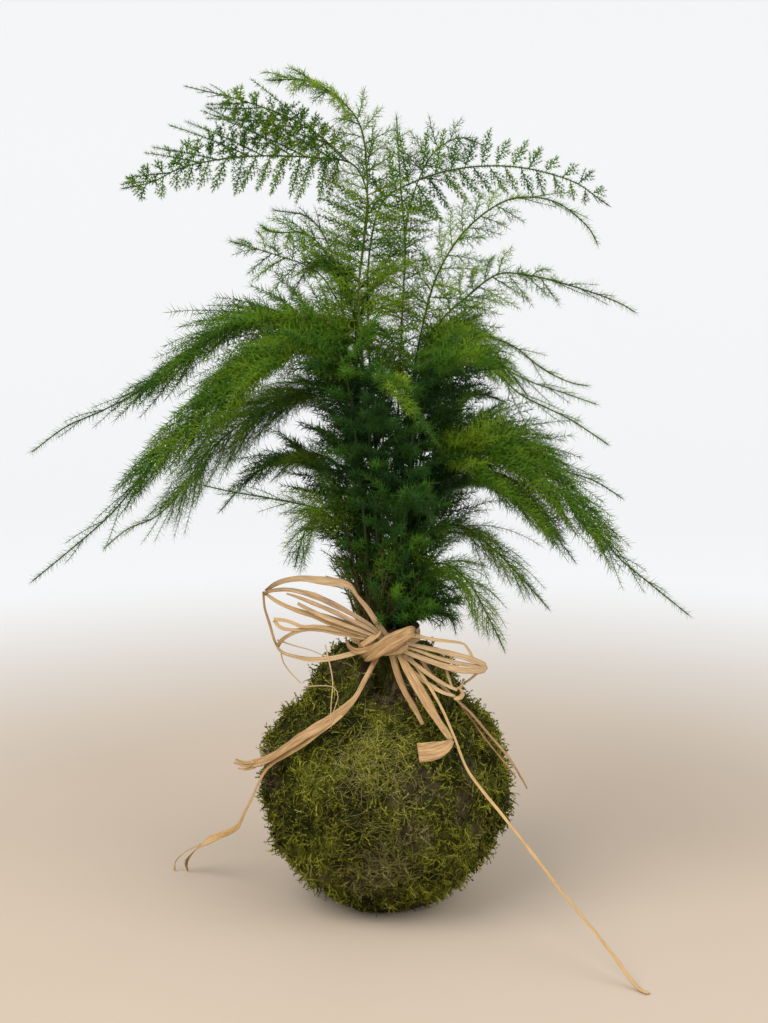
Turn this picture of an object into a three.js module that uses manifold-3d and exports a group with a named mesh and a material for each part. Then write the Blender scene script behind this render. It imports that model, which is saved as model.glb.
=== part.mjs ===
// A kokedama: an asparagus fern that grows from a ball of soil, wrapped in sheet moss and tied
// at its neck with a bow of raffia. Millimetres, +Z up, +X right and -Y towards the viewer.
// The origin is the middle of the flat spot that the ball has settled on.

import * as THREE from 'three';
import { mergeVertices } from 'three/addons/utils/BufferGeometryUtils.js';
import Module from 'manifold-3d';

const wasm = await Module();
wasm.setup();

// Driving dimensions
const BALL_RADIUS = 60;
const BALL_CENTRE_Z = 56;
const SOIL_RADIUS = 51.5;
const SOIL_FOOT_Z = 8;
const NECK_RADIUS = 15;
const NECK_TOP_Z = 133;
const MOSS_TOP_Z = 124.3;
const FIT_GAP = 0.3;

const HOLE_DEPTH = 12;
const HOLE_RADIUS = 1.5;
const STEM_RADIUS = 0.95;
const STEM_TIP_RADIUS = 0.5;
const BRANCH_RADIUS = 0.6;
const PINNA_RADIUS = 0.45;

const NEEDLE_LENGTH = 6.8;
const NEEDLE_RADIUS = 0.35;
const NEEDLE_LEAN = THREE.MathUtils.degToRad(64);
const WHORL_STEP = 6.4;
const WHORL_HEIGHT = 1.7;
const PINNA_PITCH = 10.6;
const PINNA_LEAN = THREE.MathUtils.degToRad(54);
const CLEARANCE = 0.35;

const RAFFIA_THICKNESS = 1.1;
const COLLAR_Z = 128.5;

const WORLD_UP = new THREE.Vector3(0, 0, 1);
const BALL_CENTRE = new THREE.Vector3(0, 0, BALL_CENTRE_Z);

// Materials
const MATERIALS = {
  soil: new THREE.MeshStandardMaterial({ color: 0x35261b, roughness: 0.95, metalness: 0 }),
  moss: new THREE.MeshStandardMaterial({ color: 0x707c2c, roughness: 0.9, metalness: 0 }),
  raffia: new THREE.MeshStandardMaterial({ color: 0xcfa873, roughness: 0.6, metalness: 0 }),
  foliage: new THREE.MeshStandardMaterial({ color: 0x3f7a22, roughness: 0.6, metalness: 0 }),
};

function namedMesh(name, geometry, material) {
  const mesh = new THREE.Mesh(geometry, material);
  mesh.name = name;
  return mesh;
}

function makeRandom(seed) {
  let state = seed;
  return () => {
    state = (state * 1664525 + 1013904223) % 4294967296;
    return state / 4294967296;
  };
}

// Solids that are cut or joined

function toSolid(geometry) {
  const bare = geometry.clone();
  bare.deleteAttribute('normal');
  bare.deleteAttribute('uv');
  const merged = mergeVertices(bare, 1e-5);
  const vertProperties = new Float32Array(merged.attributes.position.array);
  const triVerts = new Uint32Array(merged.index.array);
  return new wasm.Manifold(new wasm.Mesh({ numProp: 3, vertProperties, triVerts }));
}

function toGeometry(solid) {
  const mesh = solid.getMesh();
  const geometry = new THREE.BufferGeometry();
  geometry.setAttribute('position', new THREE.BufferAttribute(mesh.vertProperties, 3));
  geometry.setIndex(new THREE.BufferAttribute(mesh.triVerts, 1));
  return geometry;
}

function lathe(profile, segments) {
  const points = profile.map(([radius, z]) => new THREE.Vector2(radius, z));
  return new THREE.LatheGeometry(points, segments).rotateX(Math.PI / 2);
}

// The soil: a ball with a flat foot and a neck, which the stems stand in

const SOIL_SEGMENTS = 26;

function soilBlank(grow) {
  const radius = SOIL_RADIUS + grow;
  const foot = SOIL_FOOT_Z - grow;
  const neck = NECK_RADIUS + grow;
  const arcFrom = Math.asin((foot - BALL_CENTRE_Z) / radius);
  const arcTo = Math.acos((neck + 3) / radius);
  const steps = 7;
  const profile = [[0, foot]];
  for (let i = 0; i <= steps; i += 1) {
    const angle = arcFrom + ((arcTo - arcFrom) * i) / steps;
    profile.push([radius * Math.cos(angle), BALL_CENTRE_Z + radius * Math.sin(angle)]);
  }
  profile.push([neck, NECK_TOP_Z - 18], [neck, NECK_TOP_Z + grow], [0, NECK_TOP_Z + grow]);
  return toSolid(lathe(profile, SOIL_SEGMENTS));
}

function stemHole([x, y]) {
  const above = 4;
  const hole = new THREE.CylinderGeometry(HOLE_RADIUS, HOLE_RADIUS, HOLE_DEPTH + above, 6);
  hole.rotateX(Math.PI / 2);
  hole.translate(x, y, NECK_TOP_Z + (above - HOLE_DEPTH) / 2);
  return toSolid(hole);
}

function soilBall(roots) {
  return roots.reduce((soil, root) => soil.subtract(stemHole(root)), soilBlank(0));
}

// The moss: a cushioned skin round the soil, open at the neck, where its edge parts at the front

const MOSS_AROUND = 38;
const MOSS_DOWN = 15;

function mossRadius(polar, around) {
  const degrees = THREE.MathUtils.radToDeg(polar);
  const neckRise = 11 * THREE.MathUtils.smoothstep(40 - degrees, 0, 22);
  const shoulderDip = 2.6 * Math.exp(-(((degrees - 46) / 10) ** 2));
  const settled = 3.2 * THREE.MathUtils.smoothstep(degrees, 145, 160);
  const cushions =
    1.0 * Math.sin(5 * around + 1.3) * Math.sin(4.2 * polar) +
    0.8 * Math.sin(8 * around - 5 * polar) +
    0.6 * Math.sin(11 * around + 9 * polar + 0.7);
  const front = THREE.MathUtils.degToRad(-97);
  const fromFront = Math.atan2(Math.sin(around - front), Math.cos(around - front));
  const parting = Math.exp(-((fromFront / 0.26) ** 2)) * THREE.MathUtils.smoothstep(33 - degrees, 0, 6);
  return BALL_RADIUS + neckRise + settled - shoulderDip + cushions * Math.sin(polar) - 15 * parting;
}

function mossPoint(polar, around) {
  const radius = mossRadius(polar, around);
  const flat = radius * Math.sin(polar);
  const z = THREE.MathUtils.clamp(BALL_CENTRE_Z + radius * Math.cos(polar), 0, MOSS_TOP_Z);
  return [flat * Math.cos(around), flat * Math.sin(around), z];
}

function mossBlank() {
  const positions = [...mossPoint(0, 0)];
  const indices = [];
  for (let row = 1; row < MOSS_DOWN; row += 1) {
    for (let column = 0; column < MOSS_AROUND; column += 1) {
      const around = (2 * Math.PI * (column + (row % 2) / 2)) / MOSS_AROUND;
      positions.push(...mossPoint((Math.PI * row) / MOSS_DOWN, around));
    }
  }
  positions.push(0, 0, 0);
  const last = positions.length / 3 - 1;
  const at = (row, column) => 1 + (row - 1) * MOSS_AROUND + (column % MOSS_AROUND);
  for (let column = 0; column < MOSS_AROUND; column += 1) {
    indices.push(0, at(1, column), at(1, column + 1));
    indices.push(last, at(MOSS_DOWN - 1, column + 1), at(MOSS_DOWN - 1, column));
    for (let row = 1; row < MOSS_DOWN - 1; row += 1) {
      const [a, b] = [at(row, column), at(row, column + 1)];
      const [c, d] = [at(row + 1, column), at(row + 1, column + 1)];
      if (row % 2) indices.push(a, c, b, b, c, d);
      else indices.push(a, d, b, a, c, d);
    }
  }
  const geometry = new THREE.BufferGeometry();
  geometry.setAttribute('position', new THREE.Float32BufferAttribute(positions, 3));
  geometry.setIndex(indices);
  return toSolid(geometry);
}

function mossCover() {
  const shell = mossBlank().subtract(soilBlank(FIT_GAP));
  return shell.decompose().sort((a, b) => b.volume() - a.volume())[0];
}

// Lines through hand-placed points

function smoothLine(points) {
  const vectors = points.map((point) => new THREE.Vector3(...point));
  const line = new THREE.CatmullRomCurve3(vectors, false, 'centripetal');
  line.arcLengthDivisions = 300;
  return line;
}

// What is already placed, as thick segments, so that later twigs and needles stay clear of it

const placed = [];

function segmentDistance(a, b, c, d) {
  const u = b.clone().sub(a);
  const v = d.clone().sub(c);
  const w = a.clone().sub(c);
  const uu = u.dot(u);
  const uv = u.dot(v);
  const vv = v.dot(v);
  const uw = u.dot(w);
  const vw = v.dot(w);
  const slope = uu * vv - uv * uv;
  let s = slope > 1e-9 ? THREE.MathUtils.clamp((uv * vw - vv * uw) / slope, 0, 1) : 0;
  const t = THREE.MathUtils.clamp((uv * s + vw) / vv, 0, 1);
  s = THREE.MathUtils.clamp((uv * t - uw) / uu, 0, 1);
  return a.clone().addScaledVector(u, s).distanceTo(c.clone().addScaledVector(v, t));
}

function place(from, to, radius, node, owner, at) {
  const middle = from.clone().add(to).multiplyScalar(0.5);
  const reach = from.distanceTo(to) / 2 + radius;
  placed.push({ from, to, radius, node, owner, at, middle, reach });
}

function isClear(from, to, radius, skip) {
  const middle = from.clone().add(to).multiplyScalar(0.5);
  const reach = from.distanceTo(to) / 2 + radius + CLEARANCE;
  return placed.every((other) => {
    if (skip(other) || middle.distanceTo(other.middle) > reach + other.reach) return true;
    const gap = segmentDistance(from, to, other.from, other.to) - radius - other.radius;
    return gap > CLEARANCE;
  });
}

function segmentsOf(line, from, to, step) {
  const count = Math.max(1, Math.ceil((to - from) / step));
  const length = line.getLength();
  const at = (i) => line.getPointAt(THREE.MathUtils.clamp((from + ((to - from) * i) / count) / length, 0, 1));
  return Array.from({ length: count }, (_, i) => [at(i), at(i + 1)]);
}

// Raffia: flat strips of dried palm leaf

function ribbonSolid(points, width, outward, steps) {
  const line = smoothLine(points);
  const positions = [];
  const indices = [];
  for (let i = 0; i <= steps; i += 1) {
    const u = i / steps;
    const centre = line.getPointAt(u);
    const along = line.getTangentAt(u);
    const across = new THREE.Vector3().crossVectors(along, outward(centre)).normalize();
    const out = new THREE.Vector3().crossVectors(across, along).normalize();
    const half = (typeof width === 'function' ? width(u) : width) / 2;
    for (const [side, lift] of [[-1, -1], [1, -1], [1, 1], [-1, 1]]) {
      const corner = centre.clone().addScaledVector(across, side * half);
      positions.push(...corner.addScaledVector(out, (lift * RAFFIA_THICKNESS) / 2));
    }
  }
  for (let i = 0; i < steps; i += 1) {
    for (let side = 0; side < 4; side += 1) {
      const a = 4 * i + side;
      const b = 4 * i + ((side + 1) % 4);
      indices.push(a, a + 4, b, b, a + 4, b + 4);
    }
  }
  const end = 4 * steps;
  indices.push(0, 1, 2, 0, 2, 3, end, end + 2, end + 1, end, end + 3, end + 2);
  const geometry = new THREE.BufferGeometry();
  geometry.setAttribute('position', new THREE.Float32BufferAttribute(positions, 3));
  geometry.setIndex(indices);
  const solid = toSolid(geometry);
  return solid.volume() > 0 ? solid : toSolid(geometry.setIndex(indices.reverse()));
}

// A loose end lies against the ball, and flat on the surface below it
function outFromBelow(point) {
  const lying = 1 - THREE.MathUtils.smoothstep(point.z, 4, 30);
  return point.clone().sub(BALL_CENTRE).normalize().lerp(WORLD_UP, lying);
}

const outToFront = () => new THREE.Vector3(0.1, -0.9, 0.45).normalize();

const COLLAR_PROFILE = [
  [15.35, -3.6], [17.4, -3.4], [18.3, -1.8], [17.6, -0.6], [18.6, 0.8], [17.8, 2.2], [18.0, 3.6],
  [16.6, 4.6], [15.35, 4.6],
];

function collarSolid(grow) {
  const profile = COLLAR_PROFILE.map(([radius, z]) => {
    const outer = radius > 15.5 ? radius + grow : radius;
    return [outer + (grow ? 0 : FIT_GAP / 3), COLLAR_Z + z + (z > 0 ? grow : -grow)];
  });
  profile.push(profile[0]);
  return toSolid(lathe(profile, 20));
}

const KNOT_CENTRE = [2.5, -22.5, 129];
const KNOT_SIZE = [15.5, 5.4, 7.6];

function knotBlank(grow) {
  const lump = new THREE.SphereGeometry(1, 12, 7);
  lump.rotateX(Math.PI / 2);
  lump.scale(...KNOT_SIZE.map((half) => half + grow));
  lump.rotateY(THREE.MathUtils.degToRad(-14));
  lump.translate(...KNOT_CENTRE);
  return toSolid(lump);
}

const LEFT_LOOPS = [
  { width: 3.2, points: [
    [0, -24, 130], [-8, -28, 145], [-16, -28, 154], [-26, -29, 159], [-44, -29, 158],
    [-55, -28, 152], [-54, -27, 145], [-51, -27, 138], [-49, -27, 131], [-49, -27, 126],
    [-43, -28, 124], [-35, -28, 123], [-17, -27, 124], [-9, -26, 127], [0, -24, 129]] },
  { width: 2.6, points: [
    [0, -25, 131], [-14, -28, 142], [-22, -29, 146], [-31, -30, 149], [-46, -30, 153], [-54, -28, 151]] },
  { width: 2.4, points: [[0, -25, 130], [-22, -30, 137], [-35, -31, 143], [-48, -31, 147], [-54, -29, 149]] },
  { width: 2.4, points: [[0, -24, 129], [-18, -28, 133], [-27, -29, 135], [-37, -30, 135], [-49, -28, 130]] },
];

const RIGHT_LOOPS = [
  { width: 3.0, points: [
    [4, -24, 130], [14, -27, 131], [25, -28, 130], [36, -29, 128], [39, -29, 123], [41, -29, 118],
    [36, -29, 114], [22, -27, 118], [12, -25, 126]] },
  { width: 2.6, points: [
    [5, -24, 129], [18, -29, 127], [30, -32, 125.5], [40, -34, 124], [45, -35, 121.5], [45, -35, 118.5],
    [40, -35, 117], [32, -33, 117.5], [20, -30, 120], [9, -25, 127]] },
  { width: 2.2, points: [[11, -25, 125], [16, -29, 121], [22, -31, 117], [28, -33, 113], [33, -33, 110]] },
];

function joined(strips, outward) {
  return strips
    .map(({ points, width }) => ribbonSolid(points, width, outward, Math.round(points.length * 1.5)))
    .reduce((all, strip) => all.add(strip));
}

const TAILS = {
  raffia_tail_short: { width: 2.2, steps: 8, points: [
    [3, -24, 124], [5, -29, 117], [8, -34, 110], [13, -38, 102], [16.5, -42, 96]] },
  raffia_tail_curled: { width: 5.0, steps: 15, points: [
    [6, -25, 124], [12, -34, 113], [18, -38, 104], [24, -42.5, 94], [28, -46, 90], [25, -49, 88],
    [19, -51.5, 89], [12.5, -52.5, 90]] },
  raffia_tail_pair: { width: 2.6, steps: 12, points: [
    [14, -22, 124], [21, -25, 114], [30, -26, 105], [39, -27, 96.5], [48, -29, 86], [55.5, -28, 77],
    [62, -25, 66], [65, -22, 60]] },
  raffia_tail_long: { width: 3.0, steps: 16, points: [
    [11, -23, 122], [19, -33, 112], [25.5, -37, 102], [31, -42, 91.5], [36, -48, 78], [42, -48, 68],
    [49, -47, 58.5], [64, -58, 41], [82, -77, 20], [96, -92, 4.5], [102, -100, 0.8], [108, -106.5, 0.8]] },
  raffia_tail_left: { width: 4.4, steps: 14, points: [
    [-4, -24, 123], [-9, -30, 114], [-14, -35.5, 106], [-21.5, -37, 100], [-29, -39, 95],
    [-36, -40, 90], [-45, -37, 83], [-54, -31, 76], [-62, -26, 74], [-69, -21, 75]] },
  raffia_tail_left_floor: { width: 2.4, steps: 18, points: [
    [-0.4, -25.8, 122.2], [-5.4, -32.2, 113.1], [-11.4, -38.8, 104.2], [-19.2, -40.6, 98],
    [-27, -42.1, 93.2], [-34, -43, 88], [-43, -40.3, 80.5], [-51, -35.5, 72], [-57, -29, 63],
    [-61, -21, 54], [-67, -10, 43], [-77, 2, 30], [-88, 14, 16], [-97, 24, 4],
    [-102, 28, 0.8], [-107, 32, 0.8]] },
};

// Foliage: each leafy stem stands in its own hole and carries one or more flat fronds. A frond is
// a wiry axis with side twigs, or pinnae, left and right by turns, and whorls of needles on them.

class Axis {
  constructor(node, points, { radius, tipRadius, face = [0, -0.6, 0.8] }) {
    this.node = node;
    this.line = smoothLine(points);
    this.length = this.line.getLength();
    this.radius = radius;
    this.tipRadius = tipRadius;
    this.face = new THREE.Vector3(...face).normalize();
    this.joints = [];
  }

  pointAt(s) {
    return this.line.getPointAt(THREE.MathUtils.clamp(s / this.length, 0, 1));
  }

  tangentAt(s) {
    return this.line.getTangentAt(THREE.MathUtils.clamp(s / this.length, 0, 1));
  }

  radiusAt(s) {
    return THREE.MathUtils.lerp(this.radius, this.tipRadius, s / this.length);
  }

  nearest(point) {
    const steps = 400;
    let best = 0;
    for (let i = 1; i <= steps; i += 1) {
      const nearer = this.line.getPointAt(i / steps).distanceTo(point);
      if (nearer < this.line.getPointAt(best / steps).distanceTo(point)) best = i;
    }
    return (best / steps) * this.length;
  }

  claim(from) {
    const pieces = segmentsOf(this.line, from, this.length, 6);
    pieces.forEach(([a, b], i) => {
      const at = from + ((i + 0.5) * (this.length - from)) / pieces.length;
      place(a, b, this.radius, this.node, this, at);
    });
  }
}

// A joint is a short stretch of an axis where a twig or needles stand out of its sides.
function addJoint(axis, s, joint) {
  axis.joints.push({ s, height: WHORL_HEIGHT, ...joint });
  axis.joints.sort((a, b) => a.s - b.s);
}

function pinnaDirection(axis, s, side, roll) {
  const along = axis.tangentAt(s);
  const across = new THREE.Vector3().crossVectors(along, axis.face).normalize();
  const out = new THREE.Vector3().crossVectors(across, along);
  const level = across.multiplyScalar(side * Math.cos(roll)).addScaledVector(out, Math.sin(roll));
  return along.multiplyScalar(Math.cos(PINNA_LEAN)).addScaledVector(level, Math.sin(PINNA_LEAN));
}

// Other choices of length and roll that a pinna takes where its first place isn't clear
const PINNA_CHOICES = [[1, 0], [1, 0.45], [1, -0.45], [0.75, 0.2], [0.75, -0.7], [0.75, 0.8], [0.5, 0]];

function addPinna(axis, s, side, length, roll) {
  for (const [shorter, turn] of PINNA_CHOICES) {
    const reach = Math.max(9, length * shorter);
    const start = axis.pointAt(s + WHORL_HEIGHT / 2);
    const direction = pinnaDirection(axis, s, side, roll + turn);
    const middle = start.clone().addScaledVector(direction, reach / 2);
    const tip = start.clone().addScaledVector(direction, reach).addScaledVector(WORLD_UP, -0.1 * reach);
    const points = [start, middle, tip].map((point) => point.toArray());
    const pinna = new Axis(axis.node, points, { radius: PINNA_RADIUS, tipRadius: PINNA_RADIUS });
    const rootEnd = 2.6;
    const skip = (other) => other.owner === pinna;
    const pieces = segmentsOf(pinna.line, rootEnd, pinna.length, 6);
    if (!pieces.every(([a, b]) => isClear(a, b, PINNA_RADIUS, skip))) continue;
    pinna.claim(rootEnd);
    for (let at = 5.2; at < pinna.length - 4.5; at += WHORL_STEP) addJoint(pinna, at, { needles: true });
    addJoint(axis, s, { child: pinna, towards: direction, needles: true });
    return;
  }
}

function leafOut(axis, frond, random) {
  const from = axis.nearest(new THREE.Vector3(...frond.leafFrom));
  const leafy = axis.length - from;
  const pitch = frond.pitch ?? PINNA_PITCH;
  let side = 1;
  for (let s = from; s < axis.length - 9; s += pitch * (0.85 + 0.3 * random())) {
    const u = (s - from) / leafy;
    const base = 0.75 + 0.25 * Math.min(1, u / 0.15);
    const length = frond.pinna * base * (1 - 0.62 * u) * (0.85 + 0.3 * random());
    const roll = 0.5 * (random() - 0.5);
    const taken = axis.joints.some((joint) => Math.abs(joint.s - s) < 3);
    if (!taken) addPinna(axis, s, side, length, roll);
    side = -side;
  }
}

// A closed surface that grows: each axis rises from a triangle of the one that carries it.
class GrowingSurface {
  constructor() {
    this.positions = [];
    this.indices = [];
  }

  vertex(point) {
    this.positions.push(point.x, point.y, point.z);
    return this.positions.length / 3 - 1;
  }

  point(index) {
    return new THREE.Vector3().fromArray(this.positions, 3 * index);
  }

  triangle(a, b, c) {
    this.indices.push(a, b, c);
  }

  centre(corners) {
    const sum = new THREE.Vector3();
    corners.forEach((corner) => sum.add(this.point(corner)));
    return sum.divideScalar(corners.length);
  }

  raise(corners, apex) {
    corners.forEach((corner, i) => this.triangle(corner, corners[(i + 1) % corners.length], apex));
  }

  geometry() {
    const geometry = new THREE.BufferGeometry();
    geometry.setAttribute('position', new THREE.Float32BufferAttribute(this.positions, 3));
    geometry.setIndex(this.indices);
    return geometry;
  }
}

const THIRD = (2 * Math.PI) / 3;
const RING_ROOM = 4;

function ringAt(surface, axis, s, frame) {
  const along = axis.tangentAt(s);
  frame.e1.addScaledVector(along, -frame.e1.dot(along)).normalize();
  const e2 = new THREE.Vector3().crossVectors(along, frame.e1);
  const centre = axis.pointAt(s);
  return [0, 1, 2].map((k) => {
    const angle = frame.turn + k * THIRD;
    const corner = centre.clone().addScaledVector(frame.e1, axis.radiusAt(s) * Math.cos(angle));
    return surface.vertex(corner.addScaledVector(e2, axis.radiusAt(s) * Math.sin(angle)));
  });
}

// Turns the next ring so that the middle of one of its three sides looks towards a direction.
function turnTowards(axis, s, frame, direction) {
  const along = axis.tangentAt(s);
  const e1 = frame.e1.clone().addScaledVector(along, -frame.e1.dot(along)).normalize();
  const e2 = new THREE.Vector3().crossVectors(along, e1);
  const wanted = Math.atan2(direction.dot(e2), direction.dot(e1)) - THIRD / 2;
  const steps = Math.round((frame.turn - wanted) / THIRD);
  frame.turn = wanted + steps * THIRD;
}

function quadsBetween(low, high) {
  return [0, 1, 2].map((k) => [low[k], low[(k + 1) % 3], high[(k + 1) % 3], high[k]]);
}

function addNeedle(surface, axis, quad, s, random) {
  const root = surface.centre(quad);
  const along = axis.tangentAt(s);
  const out = root.clone().sub(axis.pointAt(s + WHORL_HEIGHT / 2));
  out.addScaledVector(along, -out.dot(along)).normalize();
  const lean = NEEDLE_LEAN + 0.35 * (random() - 0.5);
  const direction = out.multiplyScalar(Math.sin(lean)).addScaledVector(along, Math.cos(lean));
  const fullLength = NEEDLE_LENGTH * (0.85 + 0.3 * random());
  const isItsRoot = (other) => other.owner === axis && Math.abs(other.at - s) < 7;
  for (const length of [fullLength, 0.7 * fullLength]) {
    const tip = root.clone().addScaledVector(direction, length);
    const from = root.clone().addScaledVector(direction, 0.9);
    if (isClear(from, tip, NEEDLE_RADIUS, isItsRoot)) {
      place(from, tip, NEEDLE_RADIUS, axis.node, quad);
      surface.raise(quad, surface.vertex(tip));
      return;
    }
  }
  plainQuad(surface, quad);
}

// Two triangles, split along the shorter diagonal, so that a twisted stretch doesn't cross itself
function plainQuad(surface, [a, b, c, d]) {
  if (surface.point(a).distanceTo(surface.point(c)) < surface.point(b).distanceTo(surface.point(d))) {
    surface.triangle(a, b, c);
    surface.triangle(a, c, d);
  } else {
    surface.triangle(a, b, d);
    surface.triangle(b, c, d);
  }
}

function growAxis(surface, axis, base, random) {
  const first = surface.centre(base);
  const frame = { e1: surface.point(base[0]).sub(first).normalize(), turn: 0 };
  const isFree = (s) => axis.joints.every((joint) => Math.abs(joint.s - s) > RING_ROOM);
  const waypoints = [...axis.joints, ...(axis.rings ?? []).filter(isFree).map((s) => ({ s }))];
  waypoints.sort((a, b) => a.s - b.s);
  let ring = base;
  for (const joint of waypoints) {
    if (joint.towards) turnTowards(axis, joint.s, frame, joint.towards);
    else if (joint.needles) frame.turn += 0.7;
    const low = ringAt(surface, axis, joint.s, frame);
    quadsBetween(ring, low).forEach((quad) => plainQuad(surface, quad));
    ring = low;
    if (!joint.needles && !joint.child) continue;
    const high = ringAt(surface, axis, joint.s + joint.height, frame);
    for (const quad of quadsBetween(low, high)) {
      const out = surface.centre(quad).sub(axis.pointAt(joint.s + joint.height / 2)).normalize();
      if (joint.child && !joint.grown && out.dot(joint.towards) > 0) {
        joint.grown = true;
        surface.triangle(quad[0], quad[2], quad[3]);
        growAxis(surface, joint.child, quad.slice(0, 3), random);
      } else if (joint.needles) {
        addNeedle(surface, axis, quad, joint.s, random);
      } else {
        plainQuad(surface, quad);
      }
    }
    ring = high;
  }
  surface.raise(ring, surface.vertex(axis.pointAt(axis.length)));
}

function growStem(main) {
  const surface = new GrowingSurface();
  const frame = { e1: new THREE.Vector3(1, 0, 0), turn: 0 };
  const foot = ringAt(surface, main, 0, frame);
  surface.triangle(foot[2], foot[1], foot[0]);
  growAxis(surface, main, foot, makeRandom(main.seed));
  return surface.geometry();
}

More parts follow.
